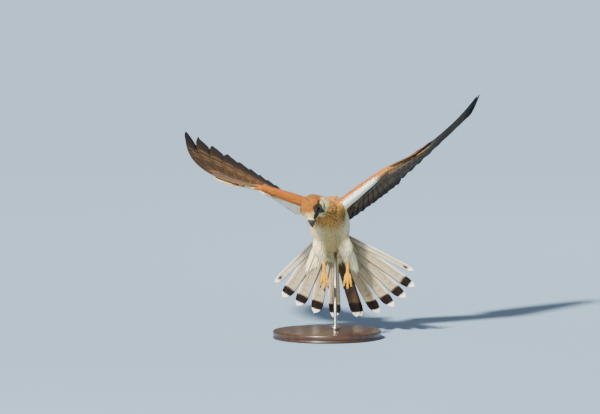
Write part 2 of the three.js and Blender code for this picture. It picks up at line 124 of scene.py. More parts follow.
# The angles of a ring's points: 2 pi k / sides.
def circle(sides):
    return 2 * np.pi * np.arange(sides) / sides


# Directions round a ring: cos(angle) a + sin(angle) b.
def spokes(angle, a, b):
    return np.cos(angle)[:, None] * a + np.sin(angle)[:, None] * b


# A colour from screen values to linear light.
def paint(r, g, b):
    c = np.array([r, g, b], float)
    return np.where(c > 0.04045, ((c + 0.055) / 1.055) ** 2.4, c / 12.92)


# A colour attribute on a mesh's points.
def paintPoints(mesh, name, values):
    data = np.ones((len(mesh.vertices), 4), np.float32)
    data[:, :3] = values
    mesh.attributes.new(name, "FLOAT_COLOR", "POINT").data.foreach_set("color", data.ravel())


# A mesh's own values as an array, three in a row.
def readThree(items, name, kind=np.float32):
    values = np.zeros(len(items) * 3, kind)
    items.foreach_get(name, values)
    return values.reshape(-1, 3)


# A mesh from arrays: points in millimetres, quads and triangles by index, maps and attributes by point.
def makePiece(name, points, faces, material, slotName, maps=None, colours=None, replaces=(), stage=False):
    mesh = bpy.data.meshes.new(name)
    blocks = [np.asarray(f, np.int32) for f in faces if len(f)]
    loops = np.concatenate([b.ravel() for b in blocks])
    sizes = np.concatenate([np.full(len(b), b.shape[1], np.int32) for b in blocks])
    mesh.vertices.add(len(points))
    mesh.vertices.foreach_set("co", (np.asarray(points) * mm).astype(np.float32).ravel())
    mesh.loops.add(len(loops))
    mesh.loops.foreach_set("vertex_index", loops)
    mesh.polygons.add(len(sizes))
    mesh.polygons.foreach_set("loop_start", np.concatenate([[0], np.cumsum(sizes)[:-1]]).astype(np.int32))
    mesh.polygons.foreach_set("loop_total", sizes)
    mesh.polygons.foreach_set("use_smooth", np.ones(len(sizes), bool))
    for mapName, uv in (maps or {}).items():
        layer = mesh.uv_layers.new(name=mapName)
        layer.data.foreach_set("uv", np.asarray(uv, np.float32)[loops].ravel())
    for colourName, values in (colours or {}).items():
        paintPoints(mesh, colourName, values)
    mesh.update()
    mesh.validate()
    mesh.materials.append(material)
    piece = bpy.data.objects.new(name, mesh)
    bpy.context.scene.collection.objects.link(piece)
    if stage:
        return piece
    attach(piece, "root")
    if replaces:
        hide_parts(*replaces)
    return piece


# Quads between rows of a grid whose columns close on themselves. The last row joins the first, or each end
# is closed by a fan of triangles round a middle point.
def tubeFaces(rows, sides, joined=False):
    r, c = np.meshgrid(np.arange(rows if joined else rows - 1), np.arange(sides), indexing="ij")
    n, up = (c + 1) % sides, (r + 1) % rows
    quads = np.stack([r * sides + c, r * sides + n, up * sides + n, up * sides + c], -1).reshape(-1, 4)
    if joined:
        return quads, np.zeros((0, 3), int)
    c = np.arange(sides)
    n = (c + 1) % sides
    first, last = rows * sides, rows * sides + 1
    low = np.stack([np.full(sides, first), n, c], -1)
    high = np.stack([np.full(sides, last), (rows - 1) * sides + c, (rows - 1) * sides + n], -1)
    return quads, np.concatenate([low, high])


# Closed faces turned to point outwards: their volume, a . (b x c) over all triangles, comes out positive.
def facingOut(points, quads, ends):
    volume = sum((points[a] * np.cross(points[b], points[c])).sum()
                 for a, b, c in (quads[:, :3].T, quads[:, [0, 2, 3]].T, ends.T))
    return (quads, ends) if volume > 0 else (quads[:, ::-1], ends[:, ::-1])


# A closed skin over rings, an array of rows by sides by three: points, quads, end triangles and a map of
# the turn and the length. Each end gets a middle point, or the last ring joins the first.
def loft(rings, joined=False):
    rows, sides, _ = rings.shape
    points = rings.reshape(-1, 3)
    along, around = np.meshgrid(np.linspace(0, 1, rows), np.arange(sides) / sides, indexing="ij")
    uv = np.stack([around, along], -1).reshape(-1, 2)
    if not joined:
        points = np.concatenate([points, rings[:1].mean(1), rings[-1:].mean(1)])
        uv = np.concatenate([uv, [[0.5, 0], [0.5, 1]]])
    quads, ends = facingOut(points, *tubeFaces(rows, sides, joined))
    return points, quads, ends, uv


# A loft as a piece, with its map under the name that its material reads.
def loftPiece(name, solid, material, slotName, mapName=None, **more):
    points, quads, ends, uv = solid
    maps = {mapName: uv} if mapName else None
    return makePiece(name, points, (quads, ends), material, slotName, maps, **more)


# Rings of ellipses: centre + width cos(a) across + height sin(a) up, with its own height below.
def ellipses(centres, across, up, width, above, below, sides):
    angle = circle(sides)
    c, s = np.cos(angle), np.sin(angle)
    height = np.where(s > 0, above[:, None] * s, below[:, None] * s)
    across = np.broadcast_to(across, centres.shape)[:, None]
    up = np.broadcast_to(up, centres.shape)[:, None]
    return centres[:, None] + (width[:, None] * c)[..., None] * across + height[..., None] * up


# A limb: circles of eased radius on an eased path, each square to the path.
def limbRings(path, radii, rows, sides, across=(1, 0, 0)):
    centres, r = eased(path, rows), eased(radii, rows)
    way = unit(np.gradient(centres, axis=0))
    u = unit(np.cross(np.broadcast_to(np.asarray(across, float), way.shape), way))
    return ellipses(centres, np.cross(way, u), u, r, r, r, sides)


# Several solids joined into one.
def gather(parts):
    points, quads, ends, uv = zip(*parts)
    starts = np.cumsum([0] + [len(p) for p in points[:-1]])
    quads, ends = (np.concatenate([f + k for f, k in zip(faces, starts)]) for faces in (quads, ends))
    return np.concatenate(points), quads, ends, np.concatenate(uv)


print("stage 1: materials")


# A node group with its sockets, and the nodes that its inputs and outputs are joined to.
def newGroup(name, inputs, outputs):
    group = bpy.data.node_groups.new(name, "ShaderNodeTree")
    for label, kind, value in inputs:
        socket = group.interface.new_socket(name=label, in_out="INPUT", socket_type=kind)
        if value is not None:
            socket.default_value = value
    for label, kind in outputs:
        group.interface.new_socket(name=label, in_out="OUTPUT", socket_type=kind)
    return group, group.nodes.new("NodeGroupInput"), group.nodes.new("NodeGroupOutput")


# Nodes are joined by a short form: a node's type, its settings and what feeds each socket, by name or
# number.
def node(tree, kind, settings=None, **feeds):
    made = tree.nodes.new("ShaderNode" + kind)
    for key, value in (settings or {}).items():
        setattr(made, key, value)
    for key, value in feeds.items():
        socket = made.inputs[int(key[1:])] if key[0] == "i" and key[1:].isdigit() else made.inputs[key]
        if isinstance(value, bpy.types.NodeSocket):
            tree.links.new(value, socket)
        else:
            socket.default_value = value
    return made


# One value worked out from up to three.
def calc(tree, operation, a, b=0.0, c=0.0):
    return node(tree, "Math", {"operation": operation}, i0=a, i1=b, i2=c).outputs[0]


# Two colours mixed by a factor, or one multiplied by the other.
def blendColour(tree, factor, a, b, mode="MIX"):
    return node(tree, "Mix", {"data_type": "RGBA", "blend_type": mode}, i0=factor, i6=a, i7=b).outputs[2]


# A colour multiplied by one grey factor.
def shaded(tree, colour, factor):
    grey = node(tree, "CombineColor", i0=factor, i1=factor, i2=factor).outputs[0]
    return blendColour(tree, 1.0, colour, grey, "MULTIPLY")


# A smooth step from 0 at one value to 1 at another.
def stepNode(tree, value, off, full):
    return node(tree, "MapRange", {"interpolation_type": "SMOOTHSTEP"},
                Value=value, i1=off, i2=full, i3=0.0, i4=1.0).outputs[0]


# A node group set into a tree.
def place(tree, group, **feeds):
    return node(tree, "Group", {"node_tree": group}, **feeds).outputs


# A named attribute's colour.
def attribute(tree, name):
    return node(tree, "Attribute", {"attribute_name": name}).outputs["Color"]


# A named map's place.
def mapNamed(tree, name):
    return node(tree, "UVMap", {"uv_map": name}).outputs[0]


barbLook = {"wobbleScale": 9.0, "wobble": 0.035, "streaks": 38.0, "spread": 2.0}
mottleLook = {"finer": 6.0, "bigShare": 0.65, "smallShare": 0.35}


# Barbs: fine slanting ridges on each side of a feather's shaft. Height follows the sine of
# count (v + slant |u - 0.5|), broken by noise along the vane. Shade is noise drawn out along the ridges.
def barbGroup():
    group, into, out = newGroup(
        "featherBarbs",
        [("Map", "NodeSocketVector", None), ("Count", "NodeSocketFloat", 60.0),
         ("Slant", "NodeSocketFloat", 0.5), ("Seed", "NodeSocketFloat", 0.0)],
        [("Shade", "NodeSocketFloat"), ("Height", "NodeSocketFloat"), ("Side", "NodeSocketFloat")],
    )
    split = node(group, "SeparateXYZ", i0=into.outputs["Map"]).outputs
    off = calc(group, "ABSOLUTE", calc(group, "SUBTRACT", split[0], 0.5))
    ridge = calc(group, "SUBTRACT", split[1], calc(group, "MULTIPLY", off, into.outputs["Slant"]))
    wobble = node(group, "TexNoise", {"noise_dimensions": "2D"}, i0=into.outputs["Map"],
                  Scale=barbLook["wobbleScale"], Detail=2.0).outputs[0]
    ridge = calc(group, "MULTIPLY_ADD", wobble, barbLook["wobble"], ridge)
    wave = calc(group, "SINE", calc(group, "MULTIPLY", ridge, into.outputs["Count"]))
    streak = node(group, "CombineXYZ", i0=calc(group, "MULTIPLY", ridge, barbLook["streaks"]),
                  i1=calc(group, "MULTIPLY", off, barbLook["spread"]), i2=into.outputs["Seed"]).outputs[0]
    tone = node(group, "TexNoise", i0=streak, Scale=1.0, Detail=3.0, Roughness=0.6).outputs[0]
    height = calc(group, "MULTIPLY_ADD", wave, 0.5, 0.5)
    for name, value in (("Height", height), ("Shade", tone), ("Side", off)):
        group.links.new(value, out.inputs[name])
    return group


# Mottle: two sizes of noise on Object coordinates, for change across a surface.
def mottleGroup():
    look = mottleLook
    group, into, out = newGroup(
        "softMottle",
        [("Size", "NodeSocketFloat", 90.0), ("Amount", "NodeSocketFloat", 0.3)],
        [("Factor", "NodeSocketFloat"), ("Height", "NodeSocketFloat")],
    )
    where = node(group, "TexCoord").outputs["Object"]
    size = into.outputs["Size"]
    big, small = (node(group, "TexNoise", Vector=where, Scale=scale, Detail=detail, Roughness=0.6).outputs[0]
                  for scale, detail in ((size, 4.0), (calc(group, "MULTIPLY", size, look["finer"]), 3.0)))
    both = calc(group, "MULTIPLY", big, look["bigShare"])
    both = calc(group, "MULTIPLY_ADD", small, look["smallShare"], both)
    factor = calc(group, "MULTIPLY_ADD", calc(group, "SUBTRACT", both, 0.5), into.outputs["Amount"], 1.0)
    group.links.new(factor, out.inputs["Factor"])
    group.links.new(small, out.inputs["Height"])
    return group


barbs = barbGroup()
mottle = mottleGroup()


# A material with its shader's fixed sockets set, whose names are given with _ for each space.
def newMaterial(name, roughness, **fixed):
    material = bpy.data.materials.new(name)
    material.use_nodes = True
    tree = material.node_tree
    shader = tree.nodes["Principled BSDF"]
    shader.inputs["Roughness"].default_value = roughness
    for key, value in fixed.items():
        shader.inputs[key.replace("_", " ")].default_value = value
    return material, tree, shader


# A surface's normal bent by a height, over a depth in metres.
def bumpFrom(tree, shader, height, strength, distance):
    made = node(tree, "Bump", Strength=strength, Distance=distance, Height=height)
    tree.links.new(made.outputs[0], shader.inputs["Normal"])


featherLook = {
    "dark": paint(0.13, 0.095, 0.075),
    "shaft": paint(0.2, 0.15, 0.11),
    "tone": (0.5, 0.74),  # how much the barbs' shade changes it, and its least
    # painted shade: each feather is darker at its root, where the one before lies over it
    "rootShade": (0.16, 0.9),  # how much it grows to the tip, and its least
    "spotAt": 0.74,  # along the vane
    "spotAcross": 1.1,
    "spotEdge": (0.1875, 0.1125),
    "streakEdge": (0.2, 0.06),
    "barPitch": 9.0,
    "barSlant": -6.0,
    "barEdge": (0.1, 0.7),
    "mottleSize": 70.0,
    "mottle": 0.35,
    "bump": 0.6,
    "specular": 0.12,
}


# A feather's material. The tint attribute is its colour, and the marks attribute holds how strong its dark
# spot, its shaft streak and its cross bars are. The vane map runs from 0 to 1 across and from root to tip.
def featherMaterial(name, count, slant, depth, roughness, sheen, patterned=True):
    look = featherLook
    material, tree, shader = newMaterial(name, roughness, Sheen_Weight=sheen, Sheen_Roughness=0.5,
                                         Specular_IOR_Level=look["specular"])
    vane = mapNamed(tree, "vane")
    v = node(tree, "SeparateXYZ", i0=vane).outputs[1]
    detail = place(tree, barbs, Map=vane, Count=float(count), Slant=slant)
    side = detail["Side"]
    tone = calc(tree, "MULTIPLY_ADD", detail["Shade"], *look["tone"])
    # painted shade darkens each feather towards its root
    if patterned:
        tone = calc(tree, "MULTIPLY", tone, calc(tree, "MULTIPLY_ADD", v, *look["rootShade"]))
    colour = shaded(tree, attribute(tree, "tint"), tone)
    if patterned:
        # The spot is an ellipse near the tip, the streak a wedge along the shaft, and the bars slant to the
        # rim
        across = calc(tree, "MULTIPLY", side, look["spotAcross"])
        along = calc(tree, "SUBTRACT", v, look["spotAt"])
        far = calc(tree, "MULTIPLY_ADD", across, across, calc(tree, "MULTIPLY", along, along))
        far = calc(tree, "SQRT", far)
        turns = calc(tree, "MULTIPLY", v, look["barPitch"] * 2 * math.pi)
        wave = calc(tree, "SINE", calc(tree, "MULTIPLY_ADD", side, look["barSlant"], turns))
        strength = node(tree, "SeparateColor", i0=attribute(tree, "marks")).outputs
        dark = 0.0
        for mark, value, edge in zip(strength, (far, side, wave), ("spotEdge", "streakEdge", "barEdge")):
            shown = calc(tree, "MULTIPLY", stepNode(tree, value, *look[edge]), mark)
            dark = calc(tree, "MAXIMUM", dark, shown)
        colour = blendColour(tree, dark, colour, (*look["dark"], 1))
    change = place(tree, mottle, Size=look["mottleSize"], Amount=look["mottle"])["Factor"]
    colour = shaded(tree, colour, change)
    tree.links.new(colour, shader.inputs["Base Color"])
    bumpFrom(tree, shader, detail["Height"], look["bump"], depth)
    return material


# A surface with mottle in its colour and height. Without a colour of its own it reads the tint attribute.
def mottledMaterial(name, colour, roughness, size, amount, depth, **fixed):
    material, tree, shader = newMaterial(name, roughness, **fixed)
    made = place(tree, mottle, Size=size, Amount=amount)
    base = attribute(tree, "tint") if colour is None else (*colour, 1)
    tree.links.new(shaded(tree, base, made["Factor"]), shader.inputs["Base Color"])
    bumpFrom(tree, shader, made["Height"], 0.5, depth)
    return material


plumeMaterial = featherMaterial("bodyFeather", 90, 0.5, 0.00003, 0.85, 0.06)
quillMaterial = featherMaterial("flightFeather", 900, 0.14, 0.00006, 0.75, 0.0, patterned=False)
skinMaterial = mottledMaterial("downySkin", None, 0.9, 260.0, 0.5, 0.0003)

print("stage 2: wings, tail and body frames")

tailRoot, shoulders, headCentre = (vec(*pose[k]) for k in ("tailRoot", "shoulders", "head"))
trunkAxes = axes(shoulders - tailRoot, (1, -0.08, math.tan(math.radians(pose["bodyRoll"]))))
headAxes = axes(pose["billWay"], pose["headLeft"])
tailAxes = axes(pose["tailWay"], pose["tailLeft"])  # its third row points to the underside


# Places in a part's own frame: its origin and three distances along its rows, forward, left and up.
def inFrame(origin, rows):
    return lambda along, left, up: origin + np.stack(np.broadcast_arrays(along, left, up), -1) @ rows


inTrunk, inTail = inFrame(tailRoot, trunkAxes), inFrame(tailRoot, tailAxes)
inHead = inFrame(headCentre, headAxes)

# The flesh, from which the coat's depth is taken: along, half width, above and below for the trunk, skull
# and tail, and chords and depths from the inner end for the arm and hand
flesh = {
    "trunk": [(-14, 14, 6, 23), (-4, 22, 9, 37), (10, 29.5, 12, 44), (28, 33, 13, 45), (50, 32, 13, 43),
              (68, 31, 12, 39), (82, 29, 11, 34), (92, 24, 9, 29)],
    "skull": [(-18, 7, 6, 8), (-14, 13, 12, 13), (-6, 17.5, 16.5, 16), (3, 18, 17, 15), (10, 15.5, 14, 12.5),
              (16, 10.5, 9.5, 9), (19.5, 6.5, 6, 6.5)],
    "tail": [(-12, 7, 2.5, 8), (-5, 14, 8, 13), (6, 18, 11.5, 14), (20, 17, 8, 14), (40, 12, 4, 8)],
    "neckRadii": (20, 18, 15.5, 13),
    "thighRadii": (10, 11, 12, 9, 4.4),
    "arm": ([52, 50, 46, 42, 36, 30], [22, 21, 20, 18, 15, 11]),
    "hand": ([30, 24, 16, 8], [10, 9, 7, 4]),
    "brow": [(-5, 0.6), (-3, 2.2), (2, 3), (7, 2.4), (10, 0.8)],
    "coat": {"trunk": 2.6, "skull": 1.4, "neck": 2.4, "thigh": 2.0, "wing": 1.8, "tail": 2.2},
    "voxel": 1.0,
    "smooth": 6,
    # painted shade: the skin between the feathers is darkened by this factor
    "shade": 0.8,  # of the skin between its feathers
}
legs = {
    "right": {"side": -1, "knee": (-8, 0, 150), "hip": (-11, 2, 134), "ankle": (-4.7, 13, 111),
              "foot": (-4.4, -18, 97)},
    "left": {"side": 1, "knee": (22, -5, 150), "hip": (27, -4, 134), "ankle": (30, 9, 112),
             "foot": (30, -22, 97)},
}
wings = {
    "humerus": 46,
    "ulna": 54,
    "manus": 46,
    "primaries": (153, 163, 175, 188, 203, 220, 238, 251, 253, 240),
    "secondaries": 10,
    "tertials": 3,
    "secondaryLength": 110,
    "section": [(0, 0), (0.08, 0.34), (0.3, 0.5), (0.65, 0.32), (1, 0.07), (1, -0.07), (0.6, -0.22),
                (0.25, -0.42), (0.06, -0.3)],
    "right": {
        "side": -1, "shoulder": (-27, -33, 201), "wrist": (-96, -71, 228), "hand": (-0.86, 0.5, 0.1),
        "chordInner": (0.1, 0.96, -0.22), "chordOuter": (0.02, 0.99, -0.1),
        "primaryFirst": (0.14, 0.99, -0.06), "primaryLast": (-0.453, 0.855, 0.262),
        "secondaryFirst": (0.16, 0.98, -0.12), "secondaryLast": (0.34, 0.92, -0.23),
        "bow": (-21, -9, -7), "pitch": (7, 2), "droopInner": 48, "droopOuter": 0,
        "liningFrom": -0.32, "liningStart": (20.0, 7.5), "liningReach": 0.35, "liningDark": 0.0,
        "whiteTo": 1.2,
    },
    "left": {
        "side": 1, "shoulder": (22, -37, 201), "wrist": (86.5, -38, 252), "hand": (0.86, 0.32, 0.4),
        "chordInner": (0, 0.93, -0.36), "chordOuter": (0.1, 0.97, -0.22),
        "primaryFirst": (0.199, 0.97, -0.11), "primaryLast": (0.562, 0.73, 0.386),
        "secondaryFirst": (0.21, 0.95, -0.24), "secondaryLast": (-0.22, 0.86, -0.48),
        "bow": (5, -5, -2), "pitch": (4, 9), "droopInner": 0, "droopOuter": 0,
        "liningFrom": 0.02, "liningStart": (5.0, 1.5), "liningReach": 0.55, "liningDark": 0.75,
        "whiteTo": 0.62,
    },
}


# A wing worked out from its joints: bone lines, chords, and the root, tip and bow of every quill.
def wingFrame(spec):
    shoulder, wrist = vec(*spec["shoulder"]), vec(*spec["wrist"])
    span = wrist - shoulder
    reach = np.linalg.norm(span)
    foot = (reach**2 + wings["humerus"] ** 2 - wings["ulna"] ** 2) / (2 * reach)
    behind = math.sqrt(wings["humerus"] ** 2 - foot**2)
    elbow = shoulder + span * foot / reach + turned(spec["chordInner"], spec["chordOuter"], 0.4) * behind
    handTip = wrist + unit(vec(*spec["hand"])) * wings["manus"]
    lengths = vec(*wings["primaries"])
    last = len(lengths) - 1
    i = np.arange(last + 1)
    ways = turned(spec["primaryFirst"], spec["primaryLast"], np.minimum(i / (last - 1), 1.03))
    primaryRoot = wrist + (handTip - wrist) * (0.06 + 0.86 * i / last)[:, None]
    primaryTip = wrist + ways * lengths[:, None]
    primaryBow = vec(*spec["bow"]) * ((i + 2) / (last + 2))[:, None]
    j = np.arange(wings["secondaries"] + wings["tertials"])[::-1]
    secondaryRoot = wrist + (elbow - wrist) * ((j + 0.7) / wings["secondaries"])[:, None]
    secondaryWays = turned(spec["secondaryFirst"], spec["secondaryLast"], j / (wings["secondaries"] - 1))
    short = np.where(j < wings["secondaries"], 1, 1 - 0.13 * (j - wings["secondaries"] + 1))
    secondaryTip = secondaryRoot + secondaryWays * (wings["secondaryLength"] * short)[:, None]
    return {
        "spec": spec, "side": spec["side"], "shoulder": shoulder, "wrist": wrist, "handTip": handTip,
        # each bone's start and end, its chords there, and the side
        "arm": (shoulder, wrist, spec["chordInner"], spec["chordOuter"], spec["side"]),
        "hand": (wrist, handTip, spec["chordOuter"], spec["primaryLast"], spec["side"]),
        "primaries": (primaryRoot, primaryTip, primaryBow),
        "secondaries": (secondaryRoot, secondaryTip, np.tile(vec(0, 0, 4), (len(j), 1))),
    }


# The flesh of a wing along one bone line: its section swept from the first point to the second.
def wingRings(start, end, first, last, side, lengths, depths, inset, rows):
    share = np.linspace(0, 1, rows)
    chord = turned(first, last, share)
    long, deep = eased(lengths, rows), eased(depths, rows)
    up = unit(np.cross(end - start, chord)) * side
    front = start + (end - start) * share[:, None] - chord * (long * 0.25)[:, None]
    section = wings["section"]
    fine = eased(section + section[:1], 33)[:-1]
    x = inset + np.clip(fine[:, 0], 0, 1)[None] * (long - 2 * inset)[:, None]
    z = fine[None, :, 1] * np.maximum(deep - 2 * inset, 0.8)[:, None]
    return front[:, None] + x[..., None] * chord[:, None] + z[..., None] * up[:, None]


rightWing, leftWing = wingFrame(wings["right"]), wingFrame(wings["left"])


# The body's solids, smaller than the flesh by the coat's depth, as closed lofts.
def fleshSolids():
    coat = flesh["coat"]
    parts = []
    for name, frameOf, rows, sides, flip in (("trunk", inTrunk, trunkAxes, 48, 1),
                                             ("skull", inHead, headAxes, 48, 1),
                                             ("tail", inTail, tailAxes, 32, -1)):
        s = eased(flesh[name], len(flesh[name]) * 5)
        size = [np.maximum(s[:, k] - coat[name], 1) for k in (1, 2, 3)]
        parts.append(loft(ellipses(frameOf(s[:, 0], 0, 0), rows[1], rows[2] * flip, *size, sides)))
    neckPath = np.stack([inTrunk(70, 0, -12), inTrunk(92, 0, -13), inHead(-7, 0, -8), inHead(1, 0, -5)])
    parts.append(loft(limbRings(neckPath, vec(*flesh["neckRadii"]) - coat["neck"], 24, 40, trunkAxes[1])))
    for leg in legs.values():
        knee, hip, ankle = (vec(*leg[k]) for k in ("knee", "hip", "ankle"))
        path = np.stack([knee + vec(0, 6, 12), knee, hip, hip + (ankle - hip) * 0.55, ankle + vec(0, 0, -2)])
        parts.append(loft(limbRings(path, vec(*flesh["thighRadii"]) - coat["thigh"], 24, 28)))
    for wing in (rightWing, leftWing):
        inner = wing["shoulder"] - (wing["wrist"] - wing["shoulder"]) * 0.12
        parts.append(loft(wingRings(inner, *wing["arm"][1:], *flesh["arm"], coat["wing"], 30)))
        parts.append(loft(wingRings(*wing["hand"], *flesh["hand"], coat["wing"] * 0.7, 16)))
    for side in (-1, 1):  # the brow that shades each eye
        s = eased(flesh["brow"], 14)
        centres = inHead(6 + s[:, 0], side * (12.6 - 0.28 * s[:, 0]), 7.6 - 0.1 * s[:, 0])
        size = s[:, 1]
        parts.append(loft(ellipses(centres, headAxes[1], headAxes[2], size, size * 0.8, size * 0.6, 16)))
    return parts


eye = {"forward": 6, "left": 11.2, "up": 3, "radius": 6.4, "opening": 4.3, "lid": 0.75}


# An eye's centre, its axis, and the two directions across it.
def eyeFrame(side):
    centre = inHead(eye["forward"], side * eye["left"], eye["up"])
    outward = unit(headAxes[1] * side + headAxes[0] * 0.35)
    along = unit(headAxes[0] - outward * (headAxes[0] @ outward))
    return centre, outward, along, np.cross(outward, along)


# Each place's height over an eye's centre along its axis, and its distance from that axis.
def fromEye(points, side):
    centre, outward, _, _ = eyeFrame(side)
    rel = points - centre
    h = rel @ outward
    return h, np.linalg.norm(rel - h[:, None] * outward, axis=1), outward


# The largest connected part of a mesh stays: each vertex takes the lowest number that reaches it along its
# edges.
def keepLargest(data, count):
    ends = np.zeros(len(data.edges) * 2, np.int32)
    data.edges.foreach_get("vertices", ends)
    a, b = ends.reshape(-1, 2).T
    label, changed = np.arange(count), True
    while changed:
        low = label.copy()
        np.minimum.at(low, a, label[b])
        np.minimum.at(low, b, label[a])
        low = low[low]
        changed = (low != label).any()
        label = low
    kept = label == np.bincount(label).argmax()
    work = bmesh.new()
    work.from_mesh(data)
    bmesh.ops.delete(work, geom=[v for v, stays in zip(work.verts, kept) if not stays], context="VERTS")
    work.to_mesh(data)
    work.free()
    return kept


# One skin over all the flesh: the lofts are fused on a fine grid and smoothed, and each eye's place is
# pressed in below its ball.
def makeSkin():
    piece = loftPiece("skin", gather(fleshSolids()), skinMaterial, "pale_feathers")
    fuse = piece.modifiers.new("fuse", "REMESH")
    fuse.mode = "VOXEL"
    fuse.voxel_size = flesh["voxel"] * mm
    soften = piece.modifiers.new("soften", "SMOOTH")
    soften.iterations = flesh["smooth"]
    soften.factor = 0.5
    graph = bpy.context.evaluated_depsgraph_get()
    made = bpy.data.meshes.new_from_object(piece.evaluated_get(graph))
    old = piece.data
    piece.modifiers.clear()
    piece.data = made
    bpy.data.meshes.remove(old)
    co = readThree(made.vertices, "co").astype(float) / mm
    co = co[keepLargest(made, len(co))]
    for side in (-1, 1):
        h, d, outward = fromEye(co, side)
        under = np.sqrt(np.maximum((eye["radius"] - 0.5) ** 2 - d**2, 0))
        press = (1 - ramp(d, eye["opening"] + 0.1, eye["opening"] + 1.6)) * (h > 0)
        co -= (press * np.maximum(h - under, 0))[:, None] * outward
    made.vertices.foreach_set("co", (co * mm).astype(np.float32).ravel())
    made.update()
    return piece, co


skin, skinPoints = makeSkin()
mesh = skin.data
mesh.calc_loop_triangles()
skinTris = readThree(mesh.loop_triangles, "vertices", np.int32)
skinNormals = readThree(mesh.vertex_normals, "vector").astype(float)
print("stage 3: skin", len(skinTris), "triangles")

# Bones that the skin's regions are read from: start, end and radius
bones = {
    "head": (inHead(-6, 0, 0), inHead(8, 0, 0), 15),
    "neck": (inHead(-14, 0, -4), inTrunk(94, 0, -8), 17),
    "trunk": (inTrunk(6, 0, -16), inTrunk(84, 0, -13), 28),
    "tail": (inTail(4, 0, 0), inTail(40, 0, 0), 13),
    "thighRight": (vec(-8, 0, 146), vec(*legs["right"]["ankle"]), 9),
    "thighLeft": (vec(22, -5, 146), vec(*legs["left"]["ankle"]), 9),
    "armRight": (rightWing["shoulder"], rightWing["wrist"], 10),
    "armLeft": (leftWing["shoulder"], leftWing["wrist"], 10),
    "handRight": (rightWing["wrist"], rightWing["handTip"], 6),
    "handLeft": (leftWing["wrist"], leftWing["handTip"], 6),
}
boneNames = list(bones)


# The distance from each place to the line between two points.
def lineGap(points, a, b):
    way = b - a
    t = np.clip((points - a) @ way / (way @ way), 0, 1)
    return np.linalg.norm(points - a - t[:, None] * way, axis=1)


# The bone that a point belongs to: the least distance to a bone's line, less the bone's radius.
def regionOf(points):
    return np.argmin(np.stack([lineGap(points, a, b) - radius for a, b, radius in bones.values()]), 0)


# How far each place is from the nearer shoulder.
def toShoulder(points):
    return np.minimum(*(np.linalg.norm(points - w["shoulder"], axis=1) for w in (rightWing, leftWing)))


# The lie of the coat: directions at a few places, mixed by inverse distance. On the head it runs from the
# bill.
def lieField():
    places, ways = [], []
    billTip = inHead(30, 0, -2)
    for f, l, u in [(14, 0, 6), (8, 10, 8), (8, -10, 8), (4, 15, 0), (4, -15, 0), (0, 0, 16), (4, 0, -13),
                    (-10, 10, 8), (-10, -10, 8), (-12, 0, 10), (-6, 0, -14)]:
        p = inHead(f, l, u)
        places.append(p)
        ways.append(p - billTip)
    down = -trunkAxes[0]
    for along in (96, 80, 60, 40, 20, 4):
        for l, u in [(0, 8), (22, -14), (-22, -14), (0, -36)]:
            places.append(inTrunk(along, l, u))
            ways.append(down + (pose["tailWay"] if along < 10 else np.zeros(3)))
    for p in (inTail(15, 0, 10), inTail(15, 0, -10), inTail(34, 0, 0)):
        places.append(p)
        ways.append(vec(*pose["tailWay"]))
    for leg in legs.values():
        hip, ankle = vec(*leg["hip"]), vec(*leg["ankle"])
        for share in (-0.2, 0.3, 0.7, 1.0):
            places.append(towards(hip, ankle, share))
            ways.append(unit(ankle - hip) + vec(0.12 * leg["side"], 0.25, 0))
    for wing in (rightWing, leftWing):
        spec = wing["spec"]
        for share in (0.15, 0.45, 0.75, 1.0):
            places.append(towards(wing["shoulder"], wing["wrist"], share))
            ways.append(turned(spec["chordInner"], spec["chordOuter"], share)
                        + 0.9 * unit(wing["wrist"] - wing["shoulder"]))
        for share in (0.4, 0.8):
            places.append(towards(wing["wrist"], wing["handTip"], share))
            ways.append(turned(spec["primaryFirst"], spec["primaryLast"], share))
    return np.stack(places), unit(np.stack(ways))


liePlaces, lieWays = lieField()


# The lie at any place: the field's directions weighed by 1 / (distance^2 + 30)^2, laid flat on the surface.
def lieAt(points, normals):
    far = ((points[:, None] - liePlaces[None]) ** 2).sum(-1)
    weight = 1 / (far + 30) ** 2
    way = (weight[..., None] * lieWays[None]).sum(1)
    way -= normals * (way * normals).sum(1, keepdims=True)
    return unit(way)


plumage = {
    "rufous": paint(0.60, 0.335, 0.055),
    "crown": paint(0.62, 0.38, 0.085),
    # a buff used as painted shade: over a light buff wash on the belly, and on the undertail coverts
    "buffWashAndShade": paint(0.62, 0.53, 0.32),
    "plume": paint(0.95, 0.90, 0.73),
    "cream": paint(0.91, 0.84, 0.63),
    "white": paint(0.96, 0.94, 0.87),
    "greyBrown": paint(0.50, 0.42, 0.34),
    "slate": paint(0.04, 0.03, 0.03),
    "collar": paint(0.72, 0.51, 0.22),
    "cheek": paint(0.78, 0.75, 0.60),
    "forehead": paint(0.90, 0.82, 0.60),
    "liningBrown": paint(0.62, 0.43, 0.24),
    "handBrown": paint(0.42, 0.32, 0.22),
}


# Where a place lies on a wing's part: its share of the bone's line, how far behind it, and its height over
# the chord's plane.
def onBone(points, start, end, first, last, side):
    span = end - start
    rel = points - start
    share = np.clip(rel @ span / (span @ span), 0, 1)
    chord = turned(first, last, share)
    up = unit(np.cross(span, chord)) * side
    return share, ((rel - share[:, None] * span) * chord).sum(-1), (rel * up).sum(-1)


